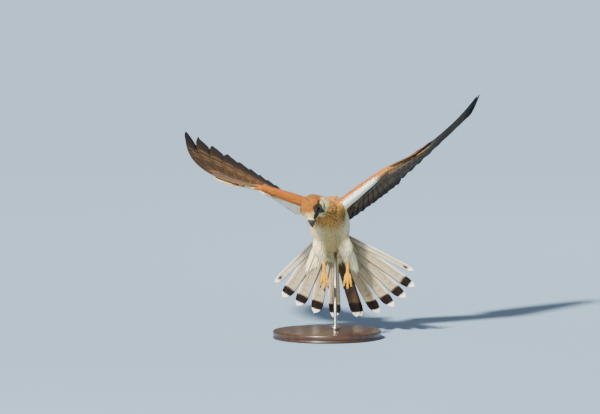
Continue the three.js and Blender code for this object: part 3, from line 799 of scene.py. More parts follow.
# Where each marking begins and is full: places in millimetres, or how far the surface leans, from -1 to 1
markAt = {
    "back": (0.12, 0.5), "belly": (0.3, 0.9), "bellyMiddle": (-12, 8), "collarHigh": (163, 187),
    "collarFront": (20, 40), "throat": (0.5, 0.9), "nape": (0, 0.7), "rump": (0.25, 0.65),
    "crown": (3.5, 7.0), "cheek": (-9, 2), "foreheadFront": (11.5, 17), "foreheadUp": (-2, 3),
    "foreheadLeft": (-9, 2), "loresEdge": (2.0, 3.8), "behindEdge": (1.2, 2.8), "moustacheEdge": (1.6, 3.2),
    "headSide": (3.0, 5.5), "rimEdge": (2.3, 4.1), "earSide": (7, 11), "headBack": (9.5, 13.5),
    "headUnder": (17, 20.5), "shoulderEdge": (16, 27), "shoulderTop": (0.1, 0.5), "armFront": (2, 10),
    "handBrown": (-0.1, 0.25), "handAbove": (-0.1, 0.0),
    # lines on the head's side, forward and up
    "lores": ((8, 3.5), (17, -1)), "behind": ((8, 5.5), (-2.5, 4.8)), "moustache": ((8.5, -1), (4.5, -15)),
    "ear": ((-4.5, 2.4), (-4, 4)),  # middle and size, forward and up
    "edgeOfLining": 0.05,
    "liningEnd": 0.2,
    "armHeight": (21, 10),  # of the wing over its chord's plane, at the inner end and its fall to the outer
    "handHeight": (9, 5),
}
# How strong each marking is
markPower = {
    "belly": 0.85, "backSpots": 0.8, "collarStreaks": 1.1, "neckStreaks": 1.2, "throat": 0.5, "nape": 0.5,
    "forehead": (0.35, 0.65), "stripe": 0.95, "dark": 0.97, "ear": 0.6, "headStreaks": (0.4, 0.9),
    "shoulder": 0.6, "armSpots": 0.8, "handSpots": 0.6, "handBars": 0.7, "handLining": 0.3,
}


# The bird's markings at any place: a colour, and the strength of spot, streak and bar, from where the place
# lies in the head's, trunk's and wings' own frames.
def markings(points, normals):
    at, power, tones = markAt, markPower, plumage
    region = regionOf(points)
    n = len(points)
    none = np.zeros(n)
    cream, white = (np.tile(tones[name], (n, 1)) for name in ("cream", "white"))
    marks = np.zeros((n, 3))
    head = (points - headCentre) @ headAxes.T
    trunk = (points - tailRoot) @ trunkAxes.T
    f, l, u = head.T
    side = np.abs(l)
    within = {name: region == k for k, name in enumerate(boneNames)}
    # Trunk: cream below, rufous with dark spots above, and a streaked collar that reaches the upper breast.
    # The belly's downward-facing middle turns buff: painted shade over a light buff wash.
    high = ramp(normals @ trunkAxes[2] + 0.02 * trunk[:, 2], *at["back"])
    # the collar is the neck's own golden colour; its lower edge is set low so that it also paints the head's
    # shadow on the upper breast
    collar = ramp(points[:, 2], *at["collarHigh"]) * ramp(-points[:, 1], *at["collarFront"])
    # painted shade: the belly darkens to buff where it faces down, most in its middle
    belly = ramp(-(normals @ trunkAxes[2]), *at["belly"])
    belly = belly * ramp(14 - np.abs(trunk[:, 1]), *at["bellyMiddle"])
    colour = towards(towards(cream, tones["buffWashAndShade"], power["belly"] * belly), tones["collar"], collar)
    colour = towards(colour, tones["rufous"], high)
    marks[:, 0] = high * power["backSpots"]
    marks[:, 1] = collar * power["collarStreaks"] * (1 - high)
    # Neck: as the collar, paler on the throat
    throat = ramp(-(normals @ headAxes[2]), *at["throat"])
    neckColour = towards(towards(cream, tones["collar"], collar), tones["cream"], throat * power["throat"])
    nape = ramp(normals @ headAxes[2], *at["nape"])
    neckColour = towards(neckColour, tones["rufous"], nape * power["nape"])
    # Head: rufous crown, pale forehead, grey cheek, and dark lores, eye rim and moustache stripe. The dark
    # of the lores and eye rim is partly the bird's own and partly painted shade under the brow
    top = ramp(u + 0.25 * np.abs(f) + 0.8 * np.clip(-f, 0, 20), *at["crown"])
    headColour = towards(towards(cream, tones["cheek"], ramp(-f, *at["cheek"])), tones["crown"], top)
    least, grown = power["forehead"]
    forehead = (ramp(f, *at["foreheadFront"]) * ramp(u, *at["foreheadUp"])
                * (least + grown * ramp(l, *at["foreheadLeft"])))
    headColour = towards(headColour, tones["forehead"], forehead)
    inSide = np.stack([f, u], -1)
    lores, behind, moustache = (1 - ramp(lineGap(inSide, *np.array(at[name], float)), *at[name + "Edge"])
                                for name in ("lores", "behind", "moustache"))
    dark = np.maximum(lores, power["stripe"] * behind)
    dark = np.maximum(dark, power["stripe"] * moustache) * ramp(side, *at["headSide"])
    for way in (-1, 1):
        out, gap, _ = fromEye(points, way)
        rim = 1 - ramp(gap, *(eye["opening"] + edge for edge in at["rimEdge"]))
        dark = np.maximum(dark, rim * (out > 0))
    # the dark of the lores and eye rim is partly the bird's own and partly painted shade under the brow
    headColour = towards(headColour, tones["slate"], dark * power["dark"])
    (earForward, earLong), (earUp, earHigh) = at["ear"]
    ear = np.exp(-(((f - earForward) / earLong) ** 2) - (((u - earUp) / earHigh) ** 2))
    ear = ear * ramp(side, *at["earSide"])
    headColour = towards(headColour, tones["greyBrown"], ear * power["ear"])
    least, grown = power["headStreaks"]
    headMarks = np.stack([none, least + grown * top, none], -1) * (1 - dark)[:, None]
    back = np.maximum(ramp(-f, *at["headBack"]), ramp(-u, *at["headUnder"])) * (1 - 0.6 * top)
    onHead = within["head"] | within["neck"] | ((f > -14) & (np.linalg.norm(head, axis=1) < 24))
    colour[onHead] = towards(headColour, towards(neckColour, tones["crown"], top), back)[onHead]
    neckMarks = np.stack([none, power["neckStreaks"] * collar, none], -1)
    marks[onHead] = towards(headMarks, neckMarks, back)[onHead]
    # The shoulders blend into the wings' rufous
    for wing in (rightWing, leftWing):
        near = 1 - ramp(np.linalg.norm(points - wing["shoulder"], axis=1), *at["shoulderEdge"])
        warm = towards(tones["rufous"], tones["collar"], power["shoulder"])
        colour = towards(colour, warm, near * ramp(normals[:, 2], *at["shoulderTop"]) * (trunk[:, 0] < 110))
    # Thighs stay cream; the rump is rufous above
    thighs = within["thighRight"] | within["thighLeft"]
    colour[thighs] = tones["plume"]
    dorsal = ramp(-(normals @ tailAxes[2]), *at["rump"])
    colour[within["tail"]] = towards(cream, tones["rufous"], dorsal)[within["tail"]]
    marks[thighs | within["tail"]] = 0
    # Wings: rufous above and round the leading edge, and white below up to a height over the chord's plane;
    # the hand is grey-brown above, and the lining browner towards it
    for wing, arm, hand in ((rightWing, within["armRight"], within["handRight"]),
                            (leftWing, within["armLeft"], within["handLeft"])):
        spec = wing["spec"]
        share, behind, height = onBone(points, *wing["arm"])
        whole, fall = at["armHeight"]
        level, whiteTo = spec["liningFrom"], spec["whiteTo"]
        above = ramp(height / (whole - fall * share), level - at["edgeOfLining"], level + at["edgeOfLining"])
        lining = towards(white, tones["liningBrown"], ramp(share, whiteTo, whiteTo + at["liningEnd"]))
        colour[arm] = towards(lining, tones["rufous"], above)[arm]
        spots = power["armSpots"] * above * ramp(behind, *at["armFront"])
        marks[arm] = np.stack([spots, none, none], -1)[arm]
        share, behind, height = onBone(points, *wing["hand"])
        whole, fall = at["handHeight"]
        above = ramp(height / (whole - fall * share), *at["handAbove"])
        browner = none + (1 if whiteTo < 1 else power["handLining"])
        lining = towards(tones["cream"], tones["liningBrown"], browner)
        upper = towards(tones["rufous"], tones["handBrown"], ramp(share, *at["handBrown"]))
        colour[hand] = towards(lining, upper, above)[hand]
        marks[hand] = np.stack([power["handSpots"] * above, none, power["handBars"] * above], -1)[hand]
    return colour, marks, region


skinColour, _, _ = markings(skinPoints, skinNormals)
# the skin's tint is darkened as painted shade between the feathers
paintPoints(mesh, "tint", skinColour * flesh["shade"])


# The skin's own unwrap: each region's bone is a strip, with the place along the bone one way and the turn
# round it the other.
def unwrap(points, region):
    uv = np.zeros((len(points), 2))
    for k, (a, b, _) in enumerate(bones.values()):
        own = region == k
        way = unit(b - a)
        cross = unit(np.cross(way, vec(0.31, 0.17, 0.93)))
        other = np.cross(way, cross)
        rel = points[own] - a
        reach = np.linalg.norm(b - a)
        along = np.clip((rel @ way + 30) / (reach + 60), 0, 1)
        turn = (np.arctan2(rel @ other, rel @ cross) / (2 * np.pi)) % 1
        uv[own] = np.stack([0.004 + 0.992 * along, (k + 0.04 + 0.92 * turn) / len(bones)], -1)
    return uv


# Indices of a vane's faces: a top and an underside grid that share their border, so that it is a thin
# closed lens.
def vaneTemplate(rows, cols):
    top = np.arange(rows * cols).reshape(rows, cols)
    low = top.copy()
    inside = np.zeros((rows, cols), bool)
    inside[1:-1, 1:-1] = True
    low[inside] = rows * cols + np.arange(inside.sum())
    upper, under = (np.stack([grid[:-1, :-1], grid[:-1, 1:], grid[1:, 1:], grid[1:, :-1]], -1).reshape(-1, 4)
                    for grid in (top, low))
    return np.concatenate([upper, under[:, ::-1]]), inside


# How much thinner a vane is at its rim and at its tip, and where its tip's rounding and its roughness set
# in
vaneLook = {"rimThin": 0.85, "tipThin": 0.7, "roundFrom": (0.5, 1), "tipRough": (0.75, 1),
            "sideRough": (0.3, 0.6)}


# Vanes in one batch, from their roots, tips, bows, edges and up directions. A vane's middle line is root +
# (tip - root) s + 4 bow s (1 - s). Across it, c runs from -1 to 1 and the width is the outline's share of
# lead on one side and of trail on the other. The vane is cupped by c squared, rounded at its tip, and thins
# from the middle to the rim.
def vanes(laid, lead, trail, outline, rows, cols, cup, thick, roundTip=0.0, rough=0.0, crowd=1.0):
    root, tip, bow, edge, upHint = (laid[k] for k in ("root", "tip", "bow", "edge", "up"))
    n = len(root)
    lead, trail, cup, thick = (np.broadcast_to(np.asarray(x, float), n)[:, None, None]
                               for x in (lead, trail, cup, thick))
    s = steps(rows, crowd)
    c = np.linspace(-1, 1, cols)
    along, across = s[None, :, None], c[None, None]
    edge = np.broadcast_to(edge if edge.ndim == 3 else edge[:, None], (n, rows, 3))
    sr = along * (1 - roundTip * across**2 * ramp(along, *vaneLook["roundFrom"]))
    if rough:
        sr = sr * (1 + rough * ramp(along, *vaneLook["tipRough"]) * draw.normal(size=(n, 1, cols)))
    sr = np.broadcast_to(sr, (n, rows, cols))
    way = (tip - root)[:, None, None]
    line = root[:, None, None] + way * sr[..., None] + 4 * bow[:, None, None] * (sr * (1 - sr))[..., None]
    tangent = unit((tip - root)[:, None] + 4 * bow[:, None] * (1 - 2 * s)[None, :, None])
    edge = unit(edge - tangent * (edge * tangent).sum(-1, keepdims=True))
    up = np.cross(edge, tangent)
    sign = np.sign((up * upHint[:, None]).sum(-1).mean(1))[:, None, None]
    up = (up * sign)[:, :, None]
    width = np.where(across * sign > 0, lead, trail) * outline(s)[None, :, None]
    if rough:
        width = width * (1 + rough * draw.normal(size=(n, rows, 1)) * ramp(along, *vaneLook["sideRough"]))
    out = (across * width)[..., None] * (edge * sign)[:, :, None]
    sunk = -cup * width * across**2
    half = 0.5 * thick * (1 - vaneLook["rimThin"] * across**2) * (1 - vaneLook["tipThin"] * along)
    middle = line + out + sunk[..., None] * up
    upper, lower = middle + half[..., None] * up, middle - half[..., None] * up
    faces, inside = vaneTemplate(rows, cols)
    upper[:, ~inside] = middle[:, ~inside]
    points = np.concatenate([upper.reshape(n, -1, 3), lower[:, inside]], 1)
    count = points.shape[1]
    flat = np.stack(np.meshgrid((c + 1) / 2, s), -1)
    vane = np.tile(np.concatenate([flat.reshape(-1, 2), flat[inside]]), (n, 1, 1))
    vane[..., 0] = np.where(sign[..., 0] > 0, vane[..., 0], 1 - vane[..., 0])
    under = np.concatenate([np.zeros(rows * cols), np.ones(inside.sum())])
    faces = faces[None] + (np.arange(n) * count)[:, None, None]
    return {"points": points.reshape(-1, 3), "faces": faces.reshape(-1, 4), "vane": vane.reshape(-1, 2),
            "each": count, "under": np.tile(under, n), "n": n}


# Outlines give the share of the full width along a vane. A blunt feather widens from its root's share, may
# narrow a little, and ends in half an ellipse.
def bluntOutline(s, root, grown, narrow, bluntFrom, power=0.5):
    end = np.clip((s - bluntFrom) / (1 - bluntFrom), 0, 1)
    return ((root + (1 - root) * ramp(s, 0, grown)) * (1 - narrow * ramp(s, 0.5, 0.85))
            * np.maximum((1 - end**2) ** power, 0.05))


# A soft feather: it widens from 0.45 and ends in a long curve.
def plumeOutline(s):
    return (0.45 + 0.55 * ramp(s, 0, 0.35)) * np.sqrt(np.clip(1 - (ramp(s, 0.55, 1.04) ** 2), 0.02, 1))


# Points thinned so that none is closer than its spacing to one kept before, by cells of a grid.
def thinned(points, spacing):
    cell = spacing.max()
    kept, cells = [], {}
    keys = np.floor(points / cell).astype(int)
    for i in range(len(points)):
        x, y, z = keys[i]
        near = [j for a in (-1, 0, 1) for b in (-1, 0, 1) for c in (-1, 0, 1)
                for j in cells.get((x + a, y + b, z + c), ())]
        if near:
            gap = points[near] - points[i]
            if ((gap * gap).sum(1) < spacing[i] ** 2).any():
                continue
        cells.setdefault((x, y, z), []).append(i)
        kept.append(i)
    return np.array(kept)


# The small feathers of each region
coat = {
    # spacing, length, width and lift
    "head": (1.0, 4.8, 0.85, 0.01),
    "neck": (1.7, 8.5, 1.6, 0.015),
    "trunk": (1.9, 11.0, 2.1, 0.01),
    "tail": (2.2, 12.0, 2.6, 0.01),
    "thigh": (1.4, 10.0, 1.2, 0.04),
    "arm": (1.3, 5.8, 1.25, 0.0),
    "hand": (1.5, 6.5, 1.6, 0.01),
    "shape": {"rows": 5, "cols": 5, "cup": 0.14, "thick": 0.14, "roundTip": 0.16, "rough": 0.05},
    "pull": 0.4,  # how far a tip may be moved to follow the skin, as a share of its feather
    "sunk": 0.3,
    "stand": 0.45,
    "most": 3000,  # feathers in one piece
    "tries": 6,
    "bareEye": 0.9,
    "finerHead": {"within": 26, "share": 0.85, "edge": (14, 22)},
    "shoulder": {"edge": (20, 32), "spacing": 0.75, "size": 0.7},
    "face": (-16, 4),  # behind the head's front, where its feathers grow to their full size
    "turn": 0.09,
    "fleck": (0.16, 0.10),  # on the head and neck, and elsewhere
    "hue": 0.03,
}
coatOf = np.array([coat[name.removesuffix("Right").removesuffix("Left")] for name in boneNames])


# Places for the coat: random ones by area on the skin's triangles, thinned to each region's spacing,
# without those on the eyes and under the bill.
def coatSpots():
    corner = skinPoints[skinTris]
    area = np.linalg.norm(np.cross(corner[:, 1] - corner[:, 0], corner[:, 2] - corner[:, 0]), axis=1) / 2
    centre = corner.mean(1)
    near = np.sqrt(((centre - headCentre) ** 2).sum(1))
    finer, joint = coat["finerHead"], coat["shoulder"]
    small = finer["share"] + (1 - finer["share"]) * ramp(near, *finer["edge"])
    spacing = coatOf[regionOf(centre), 0] * np.where(near < finer["within"], small, 1)
    least = joint["spacing"]
    spacing = spacing * (least + (1 - least) * ramp(toShoulder(centre), *joint["edge"]))
    wanted = area / spacing**2 * coat["tries"]
    number = int(wanted.sum())
    pick = draw.choice(len(area), number, p=wanted / wanted.sum())
    a, b = draw.random((2, number))
    flip = a + b > 1
    a, b = np.where(flip, 1 - a, a), np.where(flip, 1 - b, b)
    three = np.stack([1 - a - b, a, b], -1)
    spots = (corner[pick] * three[..., None]).sum(1)
    normals = unit((skinNormals[skinTris[pick]] * three[..., None]).sum(1))
    kept = thinned(spots, spacing[pick])
    spots, normals = spots[kept], normals[kept]
    f, l, u = ((spots - headCentre) @ headAxes.T).T
    bare = (f > 18.7) & (f < 34) & (np.hypot(l, u) < 9)
    for side in (-1, 1):
        h, d, _ = fromEye(spots, side)
        bare |= (d < eye["opening"] + coat["bareEye"]) & (h > 0)
    return spots[~bare], normals[~bare]


skinTree = BVHTree.FromPolygons(skinPoints.tolist(), skinTris.tolist())


# The nearest places on the skin, and its outward direction there.
def onSkin(points):
    found = [skinTree.find_nearest(p) for p in points.tolist()]
    return np.array([f[0] for f in found]), np.array([f[1] for f in found])


# The body's coat: a feather at each spot, lying along the coat and lifted a little at its tip.
def makeCoat():
    spots, normals = coatSpots()
    tint, marks, region = markings(spots, normals)
    n = len(spots)
    length, width, lift = (size * draw.uniform(low, high, n) for size, (low, high) in
                           zip(coatOf[region, 1:].T, ((0.85, 1.15), (0.88, 1.12), (0.4, 1.6))))
    head = (spots - headCentre) @ headAxes.T
    small = np.where(region == boneNames.index("head"), 0.5 + 0.5 * ramp(-head[:, 0], *coat["face"]), 1)
    length, width = length * small, width * (0.4 + 0.6 * small)
    joint = coat["shoulder"]
    flat = joint["size"] + (1 - joint["size"]) * ramp(toShoulder(spots), *joint["edge"])
    length, lift = length * flat, lift * flat
    way = lieAt(spots, normals)
    way = unit(way + coat["turn"] * draw.normal(size=way.shape))
    way = unit(way - normals * (way * normals).sum(1, keepdims=True))
    # Each feather follows the skin: its middle and tip are brought to the nearest place there, by no more
    # than a share of its length, and then stand a little off it
    free = spots + way * length[:, None]
    end, endOut = onSkin(free)
    pull = end - free
    most = coat["pull"] * length / np.maximum(np.linalg.norm(pull, axis=1), 1e-6)
    end = free + pull * np.minimum(most, 1)[:, None]
    middle, middleOut = onSkin((spots + end) / 2)
    root = spots - normals * coat["sunk"]
    tip = end + endOut * (coat["stand"] + lift * length)[:, None]
    bow = middle + middleOut * coat["stand"] - (root + tip) / 2
    laid = {"root": root, "tip": tip, "bow": bow, "edge": np.cross(normals, way), "up": normals}
    marks = marks * draw.uniform(0.4, 1.25, (n, 1))
    fleck = np.where(region <= 1, *coat["fleck"])[:, None]
    tint = tint * (1 + fleck * draw.normal(size=(n, 1))) * (1 + coat["hue"] * draw.normal(size=tint.shape))
    tint = np.clip(tint, 0.01, 1)
    atlas = unwrap(spots, region)
    total = 0
    for name, regions in (("Head", [0]), ("Neck", [1]), ("Trunk", [2, 3]), ("Thighs", [4, 5]),
                          ("WingRight", [6, 8]), ("WingLeft", [7, 9])):
        ids = np.flatnonzero(np.isin(region, regions))
        for k, part in enumerate(np.array_split(ids, max(1, math.ceil(len(ids) / coat["most"])))):
            own = {key: value[part] for key, value in laid.items()}
            made = vanes(own, width[part], width[part], plumeOutline, **coat["shape"])
            addVanes(f"coat{name}_{k + 1}", made, plumeMaterial, "pale_feathers", tint[part], marks[part],
                     atlas[part])
            total += 2 * len(made["faces"])
    print("stage 4: coat", n, "feathers,", total, "triangles")


# A batch of vanes as a piece, with its tint and marks: one value for all, one for each vane or one for each
# point. On the unwrap a vane has a lane of its own, or a small patch at its place on the atlas.
def addVanes(name, made, material, slotName, tint, marks=(0, 0, 0), atlas=None, replaces=()):
    n, each, under = made["n"], made["each"], made["under"]
    colours = {}
    for label, values in (("tint", tint), ("marks", marks)):
        values = np.asarray(values, float)
        whole = len(values) == n * each
        colours[label] = values if whole else np.repeat(np.broadcast_to(values, (n, 3)), each, 0)
    u, v = made["vane"].T
    if atlas is None:
        lane = np.repeat(np.arange(n), each)
        patch = np.stack([(lane + 0.03 + 0.94 * (u * 0.46 + 0.52 * under)) / n, 0.01 + 0.98 * v], -1)
    else:
        patch = np.repeat(atlas, each, 0) + (np.stack([u * 0.5 + 0.5 * under, v], -1) - 0.5) * 0.003
    maps = {"vane": made["vane"], "OFBake": np.clip(patch, 0, 1)}
    return makePiece(name, made["points"], (made["faces"],), material, slotName, maps, colours, replaces)


# A colour for each vane of a fan, a little lighter or darker at random.
def varied(colour, count, amount, least=0.0):
    return np.clip(colour * (1 + amount * draw.normal(size=(count, 1))), least, 1)


makeCoat()


# A fan of quills laid as vanes, innermost first: each leading edge points to the next feather out and is
# tilted up, so that every vane lies over the one after it. The whole fan rises over the quills, by one more
# layer for each.
def fanned(quills, side, tilt, shape, rise=0.0, layer=0.0):
    root, tip, bow = quills
    n = len(root)
    s = steps(shape["rows"], shape.get("crowd", 1.0))[None, :, None]
    line = root[:, None] + (tip - root)[:, None] * s + 4 * bow[:, None] * (s * (1 - s))
    way = unit(np.gradient(line, axis=1))
    i = np.arange(n)
    middle = np.clip(i, 1, n - 2)
    out = line[middle + 1] - line[middle - 1]
    out = unit(out - way * (out * way).sum(-1, keepdims=True))
    up = np.cross(out, way) * side
    slope = np.radians(np.linspace(*np.broadcast_to(tilt, 2), n))[:, None, None]
    lift = up.mean(1) * (rise + layer * (n - 1 - i))[:, None]
    edge = out * np.cos(slope) + up * np.sin(slope)
    return {"root": root + lift, "tip": tip + lift, "bow": bow, "edge": edge, "up": up.mean(1)}


# The first part of each quill, as a shorter one: for the coverts that lie along it.
def shortened(quills, share):
    root, tip, bow = quills
    share = np.broadcast_to(np.asarray(share, float), len(root))[:, None]
    end = root + (tip - root) * share + 4 * bow * share * (1 - share)
    return root, end, bow * share**2


# More quills than there are, by reading between neighbours.
def between(quills, count):
    return tuple(eased(q, count) for q in quills)


flight = {
    "shape": {"rows": 34, "cols": 13, "cup": 0.07, "thick": 0.5, "roundTip": 0.02, "rough": 0.012,
              "crowd": 1.7},
    # lead and trail of the innermost and outermost, how far each belongs to the inner wing, and the tilt,
    # where it isn't the wing's own pitch
    "Primaries": {"lead": (6.0, 2.6), "trail": (22.0, 28.0), "inner": (0.35, 0.0), "tilt": None},
    "Secondaries": {"lead": (6.0, 6.0), "trail": (14.0, 14.0), "inner": (1.0, 0.6), "tilt": 6},
    "shaft": {"width": 0.75, "reach": 0.97, "taper": 0.75,
              "shape": {"cols": 5, "cup": 0, "thick": 1.1, "roundTip": 0.1}},
    "shaftLight": 1.2,
    "upper": paint(0.20, 0.155, 0.12),
    "upperInner": paint(0.52, 0.32, 0.13),
    # the underside is dark grey-brown: painted shade over the paler underside that the feathers have
    "lower": paint(0.38, 0.31, 0.25),
    "lowerShade": paint(0.27, 0.21, 0.17),
    "lowerLight": 0.55,
    "tip": paint(0.10, 0.08, 0.08),
    "notch": paint(0.66, 0.53, 0.34),
    "bars": 13,
    "barEdge": (0.5, 0.9),
    "barEnd": (0.78, 0.9),
    "barSlant": 0.25,  # of a bar's period at the vane's edge, counted from barMiddle
    "barMiddle": 0.3,
    "innerShare": 0.75,
    "innerEnd": (0.75, 0.95),
    "trailEdge": (0.0, 0.1),
    "notchAbove": (0.2, 0.3),  # on both webs, and more on the trailing one
    "notchInner": 0.4,
    "notchBelow": 0.35,
    "tipFrom": (0.7, 0.9),
    "tipDark": (0.95, 0.5),  # on the outer wing, and how much less on the inner one
    "outerShare": 0.3,
    "outerFrom": (0.2, 0.6),
    "outerDark": 0.6,
}


# A primary narrows on both webs towards its tip, which is bluntly pointed.
def primaryOutline(s):
    return bluntOutline(s, 0.22, 0.25, 0.05, 0.94, 0.6)


# A secondary is broad to its rounded tip.
def secondaryOutline(s):
    return bluntOutline(s, 0.3, 0.25, 0.0, 0.9)


# A shaft along each vane: a slim ridge on both faces.
def shafts(fan, shape):
    size = flight["shaft"]
    root, end, bow = shortened((fan["root"], fan["tip"], fan["bow"]), size["reach"])
    return vanes({**fan, "root": root, "tip": end, "bow": bow}, size["width"], size["width"],
                 lambda s: 1 - size["taper"] * s, shape["rows"], crowd=shape["crowd"], **size["shape"])


# Colour along a flight feather. Above, the outer web is dark and the inner one has pale notches; below, the
# vane is a dark grey-brown, painted shade over its paler own colour, still paler than above, with pale
# notches on the trailing web. Both darken towards the tip.
def flightColour(made, inner):
    look = flight
    u, v = made["vane"].T
    share = np.repeat(inner, made["each"])
    turns = look["bars"] * v + look["barSlant"] * np.abs(u - look["barMiddle"])
    bar = ramp(0.5 + 0.5 * np.sin(2 * np.pi * turns), *look["barEdge"]) * (1 - ramp(v, *look["barEnd"]))
    trailing = ramp(0.5 - u, *look["trailEdge"])
    brown = share * look["innerShare"] * (1 - ramp(v, *look["innerEnd"]))
    upper = towards(np.tile(look["upper"], (len(u), 1)), look["upperInner"], brown)
    both, more = look["notchAbove"]
    upper = towards(upper, look["notch"], bar * (both + more * trailing) * (1 - look["notchInner"] * share))
    # painted shade: the underside is a dark grey-brown
    lower = towards(np.tile(look["lowerShade"], (len(u), 1)), look["lower"], look["lowerLight"])
    lower = towards(lower, look["notch"], bar * trailing * look["notchBelow"])
    outer = np.clip(1 - share / look["outerShare"], 0, 1)
    most, less = look["tipDark"]
    dark = np.maximum(ramp(v, *look["tipFrom"]) * (most - less * share),
                      look["outerDark"] * outer * ramp(v, *look["outerFrom"]))
    return towards(towards(upper, lower, made["under"]), look["tip"], dark)


# A fan of flight feathers and their shafts, as two pieces. The colour is worked out from the finished vanes.
def addFan(name, fan, lead, trail, outline, look, slotName, colourOf, replaces=()):
    made = vanes(fan, lead, trail, outline, **look["shape"])
    addVanes(name, made, quillMaterial, slotName, colourOf(made), replaces=replaces)
    addVanes(name + "Shafts", shafts(fan, look["shape"]), quillMaterial, slotName,
             featherLook["shaft"] * look["shaftLight"])


# The flight feathers of one wing.
def makeFlight(name, wing):
    for label, outline in (("Primaries", primaryOutline), ("Secondaries", secondaryOutline)):
        size = flight[label]
        tilt = wing["spec"]["pitch"] if size["tilt"] is None else size["tilt"]
        fan = fanned(wing[label.lower()], wing["side"], tilt, flight["shape"])
        lead, trail, inner = (np.linspace(*size[k], len(fan["root"])) for k in ("lead", "trail", "inner"))
        addFan(f"wing{name}{label}", fan, lead, trail, outline, flight, "wing_feathers",
               lambda made: flightColour(made, inner))


covert = {
    "shape": {"rows": 9, "cols": 7, "cup": 0.1, "thick": 0.32, "roundTip": 0.12, "rough": 0.03},
    # share of the quill's length, count, rise above the quills, lead and trail
    "upperArm": [(0.43, 17, 2.2, 5.5, 8.0), (0.29, 20, 3.4, 4.6, 6.4), (0.18, 22, 4.6, 4.0, 5.4)],
    "upperHand": [(0.30, 12, 1.8, 4.6, 7.5), (0.17, 14, 2.6, 3.8, 5.4)],
    "lowerArm": [(0.40, 22, -2.4, 6.5, 9.0), (0.26, 26, -4.2, 5.5, 7.5)],
    "lowerHand": [(0.27, 12, -2.8, 4.6, 7.0), (0.15, 13, -4.4, 3.6, 5.0)],
    "upperTilt": 6,
    "lowerTilt": 9,
    "rootUnder": 1.2,  # how far the roots are sunk towards the quills
    "droopAt": 0.36,  # the share at which a row hangs by the whole droop
    "outerStart": 0.3,  # of the inner end's start, left at the outer end
    "varied": 0.07,
    "hue": 0.01,
    "browner": 0.15,
    "armShade": 0.92,
    "armMarks": (0.8, 0.1, 0.0),
    "handDark": (0.5, 0.3),  # of the first row, and how much less each further one
    "handMarks": (0.5, 0.1, 0.75),
    "liningMarks": (0.0, 0.12, 0.0),
    "handLining": (0.3, 0.9),  # how brown, under a white lining and under one that turns brown
    "handLiningMarks": (0.15, 0.1, 0.1),
    "alula": {"count": 4, "length": 40, "step": 6, "start": (0.12, 0.09), "forward": 5, "turn": (0.34, 0.09),
              "rise": 1.5, "lead": 3.0, "trail": 5.0, "dark": 0.45, "marks": (0, 0, 0.2),
              "shape": {"rows": 9, "cols": 7, "cup": 0.1, "thick": 0.4, "roundTip": 0.1}},
}


# A covert is nearly as wide at its root, with a broad round end.
def covertOutline(s):
    return bluntOutline(s, 0.5, 0.3, 0.0, 0.72, 0.45)


# One row of coverts over or under the quills. Its tips may hang by the droop, given at both ends of the
# row, and its roots may start further back and lower, by the two values of start.
def covertRow(name, wing, quills, row, tilt, tint, marks, droop=(0, 0), start=(0, 0)):
    share, count, rise, lead, trail = row
    root, tip, bow = between(shortened(quills, share), count)
    back = unit(tip - root)
    hang = np.linspace(*droop, count)
    tip = tip - hang[:, None] * vec(0, 0, 1) * share / covert["droopAt"]
    fan = fanned((root, tip, bow), wing["side"], tilt, covert["shape"], rise)
    taper = np.linspace(1, covert["outerStart"], count)[:, None]
    fan["root"] = (fan["root"] - fan["up"] * (np.sign(rise) * covert["rootUnder"] + start[1] * taper)
                   - back * start[0] * taper)
    made = vanes(fan, lead, trail, covertOutline, **covert["shape"])
    tint = varied(tint, count, covert["varied"], covert["hue"])
    addVanes(name, made, plumeMaterial, "wing_feathers", tint, marks)


# All coverts of one wing, upper rows first, and its alula: stiff small quills along the thumb.
def makeCoverts(name, wing):
    spec = wing["spec"]
    pitch, whiteTo = spec["pitch"], spec["whiteTo"]
    rufous, white, brown, hand = (plumage[k] for k in ("rufous", "white", "liningBrown", "handBrown"))
    for k, row in enumerate(covert["upperArm"]):
        covertRow(f"wing{name}ArmCoverts_{k + 1}", wing, wing["secondaries"], row, covert["upperTilt"],
                  rufous * covert["armShade"], covert["armMarks"])
    most, less = covert["handDark"]
    for k, row in enumerate(covert["upperHand"]):
        covertRow(f"wing{name}HandCoverts_{k + 1}", wing, wing["primaries"], row, pitch,
                  towards(hand, flight["upper"], most - less * k), covert["handMarks"])
    for k, (share, count, *size) in enumerate(covert["lowerArm"]):
        toBrown = ramp(np.linspace(0, 1, count), whiteTo, whiteTo + covert["browner"])
        tone = towards(np.tile(white, (count, 1)), brown, toBrown)
        # painted shade: the lining is darkened towards the flight feathers' shaded underside, most on the
        # left wing
        tone = towards(tone, flight["lower"], spec["liningDark"])
        covertRow(f"wing{name}ArmLining_{k + 1}", wing, wing["secondaries"],
                  (share * spec["liningReach"], count, *size), covert["lowerTilt"], tone,
                  covert["liningMarks"], (spec["droopInner"], spec["droopOuter"]), spec["liningStart"])
    for k, row in enumerate(covert["lowerHand"]):
        covertRow(f"wing{name}HandLining_{k + 1}", wing, wing["primaries"], row, pitch,
                  towards(plumage["cream"], brown, covert["handLining"][whiteTo < 1]),
                  covert["handLiningMarks"])
    size = covert["alula"]
    k = np.arange(size["count"])
    first, step = size["start"]
    root = towards(wing["wrist"], wing["handTip"], first + step * k)
    root = root - unit(spec["chordOuter"]) * size["forward"]
    first, step = size["turn"]
    way = turned(spec["hand"], spec["primaryLast"], first - step * k)
    tip = root + way * (size["length"] - size["step"] * k[::-1])[:, None]
    fan = fanned((root, tip, 0 * root), wing["side"], pitch, size["shape"], size["rise"])
    made = vanes(fan, size["lead"], size["trail"], primaryOutline, **size["shape"])
    addVanes(f"wing{name}Alula", made, plumeMaterial, "wing_feathers",
             towards(hand, flight["upper"], size["dark"]), size["marks"])


for name, wing in (("Right", rightWing), ("Left", leftWing)):
    makeFlight(name, wing)
    makeCoverts(name, wing)
print("stage 5: wings")

